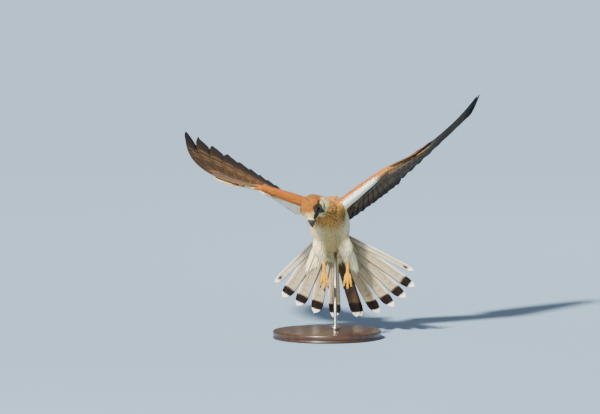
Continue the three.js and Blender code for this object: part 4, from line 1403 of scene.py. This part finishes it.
tail = {
    "lengths": (152, 153, 151, 148, 144.5, 129),
    "middle": -1.5,
    "spread": {-1: 54, 1: 51},  # by side, as is how evenly the feathers share it
    "evenness": {-1: 0.85, 1: 0.96},
    "rootSpan": 10,
    "layer": 0.95,
    "shape": {"rows": 48, "cols": 13, "cup": 0.03, "thick": 0.5, "roundTip": 0.012, "rough": 0.003,
              "crowd": 2.0},
    "lead": (6.5, 6.5, 6.5, 6.5, 6.0, 3.5),
    "trail": (12.0, 12.0, 12.0, 12.0, 11.5, 7.0),
    "shaftLight": 1.6,
    "white": 8.0,
    "band": (17.0, 13.0),  # on the centre pair and on the outer feathers
    "bandEdge": (0.8, 1.2),  # how soft it is at the white tip and at its upper end
    "whiteEdge": (1, 0.6),
    "spot": {"fromTip": (13, 3.6), "across": (0.4, 0.17), "dark": 1.5},
    "tick": {"slant": 0.8, "bend": 0.4, "edge": (0.7, 0.95), "middle": 0.42, "fade": (0.06, 0.28),
             "dark": (0.55, 0.2), "outermost": 0.6},
    "roundEnd": 5,  # how much nearer to the tip the shaft is than the vane's edges
    "paler": (0.05, 0.1, 0.15),  # all, more outward, and more on the outermost
    "webPale": (0.45, 0.45),
    "webEdge": (0.8, 0.93),
    "middleShade": 0.9,
    "bars": 13,
    "under": paint(0.60, 0.54, 0.41),
    "upper": paint(0.66, 0.50, 0.38),
    "bandColour": paint(0.10, 0.07, 0.07),
    "tipColour": paint(0.95, 0.93, 0.88),
    "barColour": paint(0.32, 0.24, 0.18),
    "middleShadeColour": paint(0.19, 0.12, 0.085),
    # length, count, rise, how far the fan is spread, and where it starts
    "upperCoverts": [(41, 6, 5.4, 0.45, 7), (27, 6, 6.2, 0.4, 8)],
    "lowerCoverts": [(56, 12, -2.4, 0.6, 0), (45, 11, -4.2, 0.55, 0), (33, 10, -6.0, 0.5, 0)],
    # half width, layer, cup, colour and marks
    "upperLook": (6.0, 0.5, 0.1, plumage["rufous"], (0.5, 0.1, 0.0)),
    # painted shade: the undertail coverts are cream darkened towards buff, as shaded between the legs
    "lowerLook": (5.0, -0.5, -0.1, towards(plumage["cream"], plumage["buffWashAndShade"], 0.45), (0.0, 0.1, 0.0)),
    "shortest": 0.82,
    "varied": 0.06,
}


# Half of a fan in the tail's plane, from the middle outwards: the angle grows with the feather's share to a
# power.
def tailQuills(side, lengths, opened=1.0, start=0):
    n = len(lengths)
    i = np.arange(n)
    share = ((i + 0.08) / (n - 0.92)) ** tail["evenness"][side]
    angle = np.radians(tail["middle"] + side * tail["spread"][side] * share * opened)
    root = inTail(start + 0 * i, side * tail["rootSpan"] * (i + 0.5) / n, 0 * i)
    way = np.stack([np.cos(angle), np.sin(angle), 0 * angle], -1)
    tip = root + (way * np.asarray(lengths)[:, None]) @ tailAxes
    return root, tip, np.zeros((n, 3))


# A tail feather is broad to a blunt end.
def rectrixOutline(s):
    return bluntOutline(s, 0.35, 0.3, 0.0, 0.88, 0.5)


# Colour along a tail feather: tick bars beside the shaft, a pale outer web, one broad dark band before a
# white tip, and a pale outermost feather with only a small dark spot. The middle pair is darkened to deep
# brown: painted shade over its own browner colour.
def tailColour(made):
    lengths, each, white = tail["lengths"], made["each"], tail["white"]
    order = np.repeat(np.arange(len(lengths)), each)
    u, v = made["vane"].T
    fromTip = (1 - v) * np.repeat(vec(*lengths), each) + tail["roundEnd"] * (u - 0.5) ** 2
    outer = order / (len(lengths) - 1)
    outermost = order == len(lengths) - 1
    colour = towards(np.tile(tail["upper"], (len(u), 1)), tail["under"], made["under"])
    least, more, last = tail["paler"]
    colour = towards(colour, tail["tipColour"], least + more * outer + last * outermost)
    least, more = tail["webPale"]
    colour = towards(colour, tail["tipColour"], ramp(u, *tail["webEdge"]) * (least + more * outer))
    tick = tail["tick"]
    turns = tail["bars"] * v + tick["slant"] * np.abs(u - tick["bend"])
    mark = ramp(0.5 + 0.5 * np.sin(2 * np.pi * turns), *tick["edge"])
    most, less = tick["dark"]
    mark = mark * (1 - ramp(np.abs(u - tick["middle"]), *tick["fade"])) * (most - less * outer)
    colour = towards(colour, tail["barColour"], mark * (1 - tick["outermost"] * outermost))
    # painted shade: the middle pair darkens to deep brown
    colour = towards(colour, tail["middleShadeColour"], (order == 0) * tail["middleShade"])
    end = white + tail["band"][0] + (tail["band"][1] - tail["band"][0]) * outer
    near, far = tail["bandEdge"]
    banded = ramp(fromTip, white - near, white + near) * (1 - ramp(fromTip, end - far, end + far))
    spot = tail["spot"]
    (far, long), (middle, wide) = spot["fromTip"], spot["across"]
    dark = np.exp(-(((fromTip - far) / long) ** 2) - (((u - middle) / wide) ** 2))
    banded = np.where(outermost, np.clip(dark * spot["dark"], 0, 1), banded)
    colour = towards(colour, tail["bandColour"], banded)
    before, after = tail["whiteEdge"]
    return towards(colour, tail["tipColour"], 1 - ramp(fromTip, white - before, white + after))


# The tail's two halves, with coverts over and under their roots in tiers.
def makeTail():
    for side, name in ((-1, "Right"), (1, "Left")):
        rise = tail["layer"] if side > 0 else 0
        fan = fanned(tailQuills(side, tail["lengths"]), side, 0, tail["shape"], rise, tail["layer"])
        addFan("tail" + name, fan, tail["lead"], tail["trail"], rectrixOutline, tail, "tail_feathers",
               tailColour, ("tail",) if side > 0 else ())
        tiers = [(tier, tail[at + "Look"]) for at in ("upper", "lower") for tier in tail[at + "Coverts"]]
        for k, ((length, count, rise, opened, start), (wide, layer, cup, colour, marks)) in enumerate(tiers):
            quills = tailQuills(side, np.linspace(length, length * tail["shortest"], count), opened, start)
            shape = {**covert["shape"], "cup": cup}
            made = vanes(fanned(quills, side, 0, shape, rise, layer), wide, wide, plumeOutline, **shape)
            addVanes(f"tail{name}Coverts_{k + 1}", made, plumeMaterial, "tail_feathers",
                     varied(colour, count, tail["varied"]), marks)


makeTail()
print("stage 6: tail")

plumes = {
    "count": 110,
    "reach": {"right": (26, 16, 18), "left": (14, 16, 17)},  # from the ankle: outward, back and down
    "along": (0.7, 0.1),  # how much of the thigh the roots take, and how far above the hip they start
    "rootOut": (8, 3, 3),  # outward, less lower down and less for the inner ones
    "rootBack": (9, 2),
    "drawn": (17, 8, 10),  # how far the inner tips fall short of the reach
    "loose": 1.3,
    "facing": (-0.3, 1.2),
    "twist": 0.2,
    "width": 2.2,
    "widths": (0.7, 1.1),
    "bow": 2.2,
    "shape": {"rows": 15, "cols": 7, "cup": 0.25, "thick": 0.25, "roundTip": 0.12, "rough": 0.07,
              "crowd": 1.3},
    "varied": 0.05,
}


# Long loose feathers at the back of each thigh: quills from its outer side, which sweep together towards a
# slanting line of tips.
def makePlumes():
    n = plumes["count"]
    for name, leg in legs.items():
        hip, ankle, side = vec(*leg["hip"]), vec(*leg["ankle"]), leg["side"]
        t = draw.random((n, 1)) ** 2
        low = draw.random((n, 1))
        out, back, down = plumes["reach"][name]
        (span, above), (far, lower, inner) = plumes["along"], plumes["rootOut"]
        deep, front = plumes["rootBack"]
        root = (hip + (ankle - hip) * (span * low - above)
                + np.hstack([side * (far - lower * low - inner * t),
                             deep * draw.random((n, 1)) - front, 0 * t]))
        x, y, z = plumes["drawn"]
        tip = ankle + np.hstack([side * (out - x * t), back - y * t, z * t - down])
        tip = tip + plumes["loose"] * draw.normal(size=(n, 3))
        way = unit(tip - root)
        face = np.hstack([side * draw.uniform(*plumes["facing"], (n, 1)), -np.ones((n, 1)), 0 * t])
        up = unit(face - way * (way * face).sum(1, keepdims=True))
        edge = unit(np.cross(way, up) + plumes["twist"] * draw.normal(size=(n, 3)))
        width = plumes["width"] * draw.uniform(*plumes["widths"], n)
        laid = {"root": root, "tip": tip, "bow": up * plumes["bow"], "edge": edge, "up": up}
        made = vanes(laid, width, width, plumeOutline, **plumes["shape"])
        addVanes("thighPlumes" + name.capitalize(), made, plumeMaterial, "pale_feathers",
                 varied(plumage["plume"], n, plumes["varied"]))


makePlumes()

bill = {
    # forward from the head's centre, drop of the centre, half width, half height
    "upper": [(14, 0.6, 5.6, 5.0), (17, 0.4, 5.5, 5.1), (19.5, 0.5, 5.1, 5.0), (22, 1.1, 4.3, 4.5),
              (25, 2.4, 3.3, 3.7), (27.4, 4.3, 2.3, 2.9), (28.9, 6.6, 1.35, 2.0), (29.3, 8.4, 0.75, 1.2),
              (29.1, 9.8, 0.25, 0.4)],
    "lower": [(13, 6.0, 4.8, 2.3), (18, 6.2, 4.4, 2.1), (22, 6.6, 3.4, 1.8), (25, 6.9, 2.2, 1.3),
              (26.8, 7.1, 0.9, 0.7)],
    "cereRings": [(13.6, 0.4, 6.0, 5.4), (16, 0.2, 6.2, 5.8), (18.6, 0.3, 5.9, 5.7), (20.3, 0.6, 5.2, 5.3),
                  (20.9, 0.8, 4.7, 4.8)],
    "tooth": (26.6, 0.8, 0.9),  # where it stands, its length and its depth
    "horn": paint(0.12, 0.11, 0.115),
    "hornRoot": paint(0.30, 0.28, 0.26),
    "hornTip": paint(0.07, 0.065, 0.07),
    "cere": paint(0.86, 0.74, 0.38),
    "sides": 36,
    "rows": 44,
    "nostril": {"forward": 19.2, "left": 5.45, "up": 1.6, "radius": 0.9, "rim": 0.28,
                # share of the radius, and height
                "pit": [(0.15, 0.06), (0.6, 0.06), (0.92, 0.02), (1.0, -0.5)]},
}

billMaterial = mottledMaterial("billHorn", None, 0.42, 320.0, 0.25, 0.00006, Coat_Weight=0.25)
cereMaterial = mottledMaterial("cereSkin", bill["cere"], 0.5, 700.0, 0.35, 0.0001)
nostrilShadeMaterial = mottledMaterial("nostrilShade", paint(0.09, 0.07, 0.06), 0.8, 300.0, 0.3, 0.00005)


# The bill: ellipses along its stations, pinched to a ridge above and to a sharp edge with one tooth on each
# side.
def billRings(stations, rows, sides, upper):
    s = eased(stations, rows)
    angle = circle(sides)
    c, h = np.cos(angle), np.sin(angle)
    at, long, deep = bill["tooth"]
    if upper:
        pinch = np.sign(c) * np.abs(c) ** 1.15
        high = np.where(h > 0, h, h * 0.72)
        tooth = deep * np.exp(-(((s[:, 0] - at) / long) ** 2))
        low = ramp(-h, 0.3, 0.9)
    else:
        pinch, high, tooth, low = c, h, 0 * s[:, 0], 0 * h
    return headRings(s, s[:, 2, None] * pinch, s[:, 3, None] * high - tooth[:, None] * low)


# Rings across the head's way: each has its station's centre, and goes across and up by the two given
# lengths.
def headRings(s, across, up):
    centres = inHead(s[:, 0], 0, -s[:, 1])[:, None]
    return centres + across[..., None] * headAxes[1] + up[..., None] * headAxes[2]


# The bill's two halves, the cere as a swollen collar of bare skin over its root, and nostrils as a raised
# rim round a shallow hollow on each side, coloured dark as painted shade of the opening.
def makeBill():
    for name, half in (("billUpper", "upper"), ("billLower", "lower")):
        solid = loft(billRings(bill[half], bill["rows"], bill["sides"], half == "upper"))
        f, _, u = ((solid[0] - headCentre) @ headAxes.T).T
        tint = towards(np.tile(bill["horn"], (len(f), 1)), bill["hornTip"], ramp(f - 0.4 * u, 24, 30))
        tint = towards(tint, bill["hornRoot"], (1 - ramp(f, 19, 24)) * 0.6)
        loftPiece(name, solid, billMaterial, "bill_horn", colours={"tint": tint}, replaces=("bill_" + half,))
    s = eased(bill["cereRings"], 20)
    angle = circle(48)
    c, h = np.cos(angle), np.sin(angle)
    bulge = 1 + 0.06 * np.exp(-((h - 0.15) ** 2) / 0.1) * (np.abs(c) > 0.3)
    rings = headRings(s, s[:, 2, None] * c * bulge, s[:, 3, None] * np.where(h > 0, h, h * 0.6))
    loftPiece("cere", loft(rings), cereMaterial, "bill_horn")
    spot = bill["nostril"]
    rims, pits = [], []
    for side in (-1, 1):
        centre = inHead(spot["forward"], side * spot["left"], spot["up"])
        out = unit(headAxes[1] * side * 0.9 + headAxes[2] * 0.25)
        a = unit(np.cross(out, headAxes[0]))
        way = spokes(circle(20), a, np.cross(out, a))
        small = circle(8)[None, :, None]
        rims.append(loft((centre + way * spot["radius"])[:, None]
                         + spot["rim"] * (np.cos(small) * way[:, None] + np.sin(small) * out), joined=True))
        share, height = np.array(spot["pit"]).T[:, :, None, None]
        pits.append(loft(centre + share * spot["radius"] * way + height * out))
    loftPiece("nostrilRims", gather(rims), cereMaterial, "bill_horn")
    loftPiece("nostrils", gather(pits), nostrilShadeMaterial, "bill_horn")


# A ball turned round an axis: rings of radius sin(a), from pole to pole, with a map of the angle from the
# axis.
def ball(centre, axis, radius, rows=40, sides=48, flatten=1.0):
    a = np.linspace(0.02, np.pi - 0.02, rows)[:, None, None]
    x = unit(np.cross(axis, vec(0.2, 0.3, 0.9)))
    way = spokes(circle(sides), x, np.cross(axis, x))
    return loft(centre + radius * (np.sin(a) * way + np.cos(a) * flatten * axis))


eyeLook = {
    "iris": paint(0.05, 0.03, 0.02),
    "pupil": paint(0.01, 0.01, 0.012),
    "white": paint(0.08, 0.06, 0.05),
    # painted shade: the lids are dark brown, as if shaded by the brow
    "ring": paint(0.13, 0.10, 0.07),
    "pupilEdge": (0.335, 0.385),  # angles from the axis
    "irisEdge": (0.68, 0.76),
    "rays": 90.0,
    "lidCorner": 0.10,
    "lidGap": 0.15,
    "lidThick": (0.75, 0.55),  # below, and how much it grows above
}


# The eye's colour follows the angle from its axis, which the map's second row holds as a share of half a
# turn.
def eyeMaterial():
    look = eyeLook
    material, tree, shader = newMaterial("eyeball", 0.12, Coat_Weight=0.05, Coat_Roughness=0.03,
                                         Specular_IOR_Level=0.3)
    split = node(tree, "SeparateXYZ", i0=mapNamed(tree, "turn")).outputs
    angle = calc(tree, "MULTIPLY", split[1], math.pi)
    rays = node(tree, "CombineXYZ", i0=calc(tree, "MULTIPLY", split[0], look["rays"]), i1=angle).outputs[0]
    fine = node(tree, "TexNoise", i0=rays, Scale=1.0, Detail=2.0).outputs[0]
    iris = blendColour(tree, fine, (*look["iris"] * 0.6, 1), (*look["iris"] * 1.6, 1))
    colour = blendColour(tree, stepNode(tree, angle, *look["pupilEdge"]), (*look["pupil"], 1), iris)
    colour = blendColour(tree, stepNode(tree, angle, *look["irisEdge"]), colour, (*look["white"], 1))
    tree.links.new(colour, shader.inputs["Base Color"])
    return material


# Each eye's ball, and its lids: a soft rim on the ball, drawn out to a corner at front and back, thicker
# above.
def makeEyes():
    look, radius = eyeLook, eye["radius"]
    eyeball = eyeMaterial()
    lidShadeMaterial = mottledMaterial("eyeLidShade", look["ring"], 0.55, 900.0, 0.4, 0.00008)
    for side, name in ((1, "Left"), (-1, "Right")):
        centre, outward, along, over = eyeFrame(side)
        loftPiece("eye" + name, ball(centre, outward, radius), eyeball, "eye", "turn",
                  replaces=("eye_" + name.lower(),))
        turn = circle(56)
        upward = np.sin(turn) * side
        corner = 1 + look["lidCorner"] * np.abs(np.cos(turn)) ** 6
        reach = (eye["opening"] + look["lidGap"]) * corner * (1 - 0.06 * (upward > 0.3))
        way = spokes(turn, along, over)
        height = np.sqrt(radius**2 - np.minimum(reach, radius - 0.3) ** 2)
        middle = centre + way * reach[:, None] + outward * (height - 0.1)[:, None]
        least, grown = look["lidThick"]
        thick = (eye["lid"] * (least + grown * ramp(upward, 0.1, 0.9)))[:, None, None]
        t = circle(12)[None, :, None]
        rings = middle[:, None] + thick * (np.cos(t) * way[:, None] + 0.8 * np.sin(t) * outward)
        loftPiece("lids" + name, loft(rings, joined=True), lidShadeMaterial, "leg_skin")


feet = {
    "toe": 22,
    "toes": [  # turn outward, lean forward, reach, start, for the middle, inner, outer and hind toes
        (0, 0.3, 1, (0, -1.5, 0)),
        (-0.17, 0.2, 0.78, (-2.4, -0.8, 0)),
        (0.17, 0.2, 0.82, (2.4, -0.8, 0)),
        (0.16, -0.45, 0.55, (0.8, 2.2, 0)),
    ],
    "yellow": paint(0.78, 0.58, 0.01),
    "seam": paint(0.45, 0.28, 0.03),
    "claw": paint(0.09, 0.08, 0.08),
    "scutes": 13,
    "scuteLength": 1.6,
    "scalesRound": 7,
    "shankRadii": [3.3, 3.0, 2.2, 2.25, 2.9],
    "toeRadii": [1.3, 2.15, 1.95, 1.8, 1.75, 1.65, 1.35],
    "clawRadii": [1.35, 1.45, 1.3, 1.05, 0.75, 0.42, 0.08],
    "clawLength": 7.2,
    "clawHook": 3.4,
    "palm": 3.5,
}


# Leg skin: scutes as bands across the map's length in front, small scales behind, with darker seams
# between.
def legMaterial():
    material, tree, shader = newMaterial("legScales", 0.55, Specular_IOR_Level=0.2)
    scales = node(tree, "TexVoronoi", {"voronoi_dimensions": "2D", "feature": "DISTANCE_TO_EDGE"},
                  Vector=mapNamed(tree, "leg"), Scale=1.0, Randomness=0.75)
    plate = stepNode(tree, scales.outputs["Distance"], 0.0, 0.16)
    yellow = shaded(tree, (*feet["yellow"], 1), place(tree, mottle, Size=300.0, Amount=0.3)["Factor"])
    tree.links.new(blendColour(tree, plate, (*feet["seam"], 1), yellow), shader.inputs["Base Color"])
    bumpFrom(tree, shader, plate, 0.8, 0.00025)
    return material


# A scaly limb: circles on an eased path, with scutes as small steps in the radius on its front half.
def scalyLimb(path, radii, rows, sides, scutes, front, swell=0.09):
    centres, r = eased(path, rows), eased(radii, rows)
    way = unit(np.gradient(centres, axis=0))
    a = unit(front - way * (way @ front)[:, None])
    turn = circle(sides)
    s = np.linspace(0, 1, rows)
    saw = (s * scutes) % 1
    facing = ramp(np.cos(turn), -0.1, 0.5)
    ripple = 1 + swell * (0.6 - saw)[:, None] * facing * (ramp(s, 0, 0.05) * ramp(1 - s, 0, 0.05))[:, None]
    wide = (r[:, None] * ripple)[..., None]
    c, h = np.cos(turn)[:, None], np.sin(turn)[:, None]
    b = np.cross(way, a)
    points, quads, ends, uv = loft(centres[:, None] + wide * c * a[:, None] + wide * h * b[:, None])
    length = np.linalg.norm(np.diff(centres, axis=0), axis=1).sum()
    return points, quads, ends, uv * (feet["scalesRound"], length / feet["scuteLength"])


# Each leg: the shank from the thigh's end to the foot, a palm with four padded toes, and a hooked claw on
# each toe.
def makeLegs():
    legSkin = legMaterial()
    clawMaterial = mottledMaterial("clawHorn", feet["claw"], 0.28, 400.0, 0.5, 0.00004, Coat_Weight=0.3)
    s = np.linspace(0, 1, 7)
    for name, leg in legs.items():
        ankle, foot, side = vec(*leg["ankle"]), vec(*leg["foot"]), leg["side"]
        shank = towards(ankle, foot, vec(-0.1, 0, 0.3, 0.75, 1))
        loftPiece("shank" + name.capitalize(), scalyLimb(shank, feet["shankRadii"], 120, 28, feet["scutes"],
                                                         vec(0, -1, 0.25)),
                  legSkin, "leg_skin", "leg", replaces=("tarsus_" + name,))
        *palm, uv = ball(foot + vec(0, 0, -0.4), vec(0, 0, 1.0), feet["palm"], 24, 28, 0.85)
        toes = [(*palm, uv * (9, 6))]
        for k, (turn, lean, reach, start) in enumerate(feet["toes"]):
            flip = side if k == 3 else 1  # the hind toe turns to its own side
            turn, start = turn * flip, vec(start[0] * flip, *start[1:])
            way = vec(turn, -lean, -math.sqrt(1 - turn**2 - lean**2))
            curl = 3 * np.sin(np.pi * s) * np.sign(lean)
            line = foot + start + way * (s * reach * feet["toe"])[:, None] - curl[:, None] * vec(0, 1, 0)
            pads = 1 + 0.10 * np.cos(2 * np.pi * s * (3 if k else 3.5))
            toes.append(scalyLimb(line, vec(*feet["toeRadii"]) * pads, 90, 22, int(8 + 6 * reach),
                                  vec(0, -np.sign(lean), 0.3)))
            on, back, t = unit(line[-1] - line[-3]), vec(0, np.sign(lean), 0), s[:, None]
            hook = line[-1] + on * (feet["clawLength"] * t - 1.2) + back * (feet["clawHook"] * t**2)
            loftPiece(f"claw{name.capitalize()}_{k + 1}", loft(limbRings(hook, feet["clawRadii"], 26, 16)),
                      clawMaterial, "claw_horn", replaces=(f"claw_{name}_{k + 1}",))
        loftPiece("foot" + name.capitalize(), gather(toes), legSkin, "leg_skin", "leg",
                  replaces=("foot_" + name,))


makeBill()
makeEyes()
makeLegs()
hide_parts("torso", "neck", "head", "thigh_left", "thigh_right", "wing_left_arm", "wing_left_hand",
            "wing_right_arm", "wing_right_hand")
print("stage 7: head details and feet")

stand = {
    "sides": 160,
    "bevel": 2.0,
    "groove": 1.2,
    "wood": paint(0.25, 0.155, 0.095),
    "woodDark": paint(0.13, 0.075, 0.045),
    "steel": paint(0.72, 0.72, 0.71),
    "collar": 6.0,
    "collarHeight": 5.0,
}


# Turned wood: rings of a stretched noise, darker along fine pores.
def woodMaterial():
    material, tree, shader = newMaterial("standWood", 0.38, Coat_Weight=0.35, Coat_Roughness=0.2)
    where = node(tree, "TexCoord").outputs["Object"]
    grain = node(tree, "Mapping", Vector=where, Scale=(14.0, 160.0, 160.0)).outputs[0]
    wide = node(tree, "TexNoise", Vector=grain, Scale=1.0, Detail=5.0, Roughness=0.6).outputs[0]
    rings = node(tree, "TexWave", {"wave_type": "RINGS", "rings_direction": "X"}, Vector=where, Scale=34.0,
                 Distortion=5.0, Detail=3.0)
    both = calc(tree, "MULTIPLY_ADD", rings.outputs["Fac"], 0.4, calc(tree, "MULTIPLY", wide, 0.7))
    colour = blendColour(tree, both, (*stand["woodDark"], 1), (*stand["wood"], 1))
    tree.links.new(colour, shader.inputs["Base Color"])
    bumpFrom(tree, shader, wide, 0.2, 0.00015)
    return material


# Brushed steel: noise drawn out round the rod, in the height and the roughness.
def steelMaterial():
    material, tree, shader = newMaterial("standSteel", 0.3, Metallic=1.0)
    where = node(tree, "TexCoord").outputs["Object"]
    brushed = node(tree, "Mapping", Vector=where, Scale=(60.0, 60.0, 4000.0)).outputs[0]
    lines = node(tree, "TexNoise", Vector=brushed, Scale=1.0, Detail=2.0).outputs[0]
    change = place(tree, mottle, Size=60.0, Amount=0.12)["Factor"]
    tree.links.new(shaded(tree, (*stand["steel"], 1), change), shader.inputs["Base Color"])
    tree.links.new(calc(tree, "MULTIPLY_ADD", lines, 0.2, 0.2), shader.inputs["Roughness"])
    bumpFrom(tree, shader, lines, 0.15, 0.00002)
    return material


# A turned piece: circles of the profile's radius at its heights, round one upright axis.
def turnedPiece(name, profile, centre, material, slotName, replaces):
    radius, height = np.asarray(profile, float).T[:, :, None, None]
    turn = circle(stand["sides"])
    rings = radius * spokes(turn, vec(1, 0, 0), vec(0, 1, 0)) + height * vec(0, 0, 1) + centre
    loftPiece(name, loft(rings), material, slotName, replaces=replaces)


# The stand in its nodes' own boxes: a bevelled base with a round groove in its edge, and the rod with a
# collar.
def makeStand():
    low, high = (np.array(c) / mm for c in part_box("stand_base"))
    rodLow, rodHigh = (np.array(c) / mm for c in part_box("stand_rod"))
    radius, top, bevel = (high[0] - low[0]) / 2, high[2], stand["bevel"]
    a = np.linspace(0, np.pi / 2, 9)
    edge = [(radius - bevel + bevel * np.cos(t), bevel - bevel * 0.6 * np.sin(t)) for t in a[::-1]]
    groove = [(radius - stand["groove"] * np.sin(t), 2.5 + 3 * t / np.pi) for t in np.linspace(0, np.pi, 9)]
    shoulder = [(radius - bevel + bevel * np.cos(t), top - bevel + bevel * np.sin(t)) for t in a]
    profile = [(radius - 3, 0)] + edge + groove + shoulder + [(radius * 0.5, top)]
    turnedPiece("standBase", profile, (low + high) / 2 * (1, 1, 0), woodMaterial(), "stand_wood",
                ("stand_base",))
    r, c, h, z = (rodHigh[0] - rodLow[0]) / 2, stand["collar"], stand["collarHeight"], rodLow[2]
    profile = [(c - 0.6, z - 0.2), (c, z + 0.4), (c, z + h - 1.2), (c - 0.5, z + h - 0.4), (c - 1.4, z + h),
               (r + 0.9, z + h), (r + 0.2, z + h + 0.8), (r, z + h + 1.8), (r, rodHigh[2] + 4)]
    turnedPiece("standRod", profile, (rodLow + rodHigh) / 2 * (1, 1, 0), steelMaterial(), "stand_metal",
                ("stand_rod",))


makeStand()
print("stage 8: stand")

room = {
    "floor": paint(0.50, 0.61, 0.74),
    "floorSize": 120.0,
    "away": 10.0,
    "down": 5.0,
    "middle": (-40.0, 0.0, 194.0),
    "frameWidth": 0.88235,
    "sky": (0.88, 0.94, 1.0),
    "skyStrength": 0.24,
    "keyStrength": 14.0,
    "keyAngle": 5.0,
    "keyFrom": (26.0, 36.0),  # degrees to the left of the camera, and above the floor
    "keyColour": (1.0, 0.92, 0.76),
    "aim": (0, 0, 0.2),
    # position, size in metres, power and colour
    "fill": ((-0.6, -2.0, 0.1), 1.0, 36, (1.0, 0.95, 0.86)),
    "rim": ((0.8, 1.8, 1.6), 1.2, 10, (1.0, 0.98, 0.95)),
}


# A plain pale floor, one quad at the base's height.
def makeFloor():
    half = room["floorSize"] / 2 / mm
    material = mottledMaterial("paleFloor", room["floor"], 0.9, 1.5, 0.05, 0.0001)
    points = vec((-half, -half, 0), (half, -half, 0), (half, half, 0), (-half, half, 0))
    makePiece("floor", points, (np.array([[0, 1, 2, 3]]),), material, None, stage=True)


# A light or camera set into the scene.
def setDown(name, data, position, turns):
    thing = bpy.data.objects.new(name, data)
    thing.location = position
    thing.rotation_euler = turns
    bpy.context.scene.collection.objects.link(thing)
    return thing


# A warm sun from the left of the camera, two soft discs turned towards the bird, and a pale sky.
def makeLights():
    key = bpy.data.lights.new("key", "SUN")
    key.energy, key.angle, key.color = room["keyStrength"], math.radians(room["keyAngle"]), room["keyColour"]
    turn, high = (math.radians(a) for a in room["keyFrom"])
    setDown("key", key, (0, 0, 0), (math.pi / 2 - high, 0, -turn))
    for name in ("fill", "rim"):
        position, size, power, colour = room[name]
        data = bpy.data.lights.new(name, "AREA")
        data.shape, data.size, data.energy, data.color = "DISK", size, power, colour
        x, y, z = unit(vec(*room["aim"]) - position)
        setDown(name, data, position, (math.acos(-z), 0, math.atan2(y, x) - math.pi / 2))
    world = bpy.data.worlds.new("studio")
    bpy.context.scene.world = world
    world.use_nodes = True
    back = world.node_tree.nodes["Background"]
    back.inputs[0].default_value = (*room["sky"], 1)
    back.inputs[1].default_value = room["skyStrength"]


# The camera looks at the frame's middle from the photograph's side, far off and a little above, so that the
# frame's width there is what the photograph's is.
def makeCamera():
    data = bpy.data.cameras.new("photoCamera")
    data.sensor_width = 36
    data.lens = data.sensor_width * room["away"] / room["frameWidth"]
    data.clip_end = 500
    slope = math.radians(room["down"])
    position = vec(*room["middle"]) * mm - room["away"] * vec(0, math.cos(slope), -math.sin(slope))
    bpy.context.scene.camera = setDown("photoCamera", data, position, (math.pi / 2 - slope, 0, 0))


makeFloor()
makeLights()
makeCamera()
print("stage 9: room")
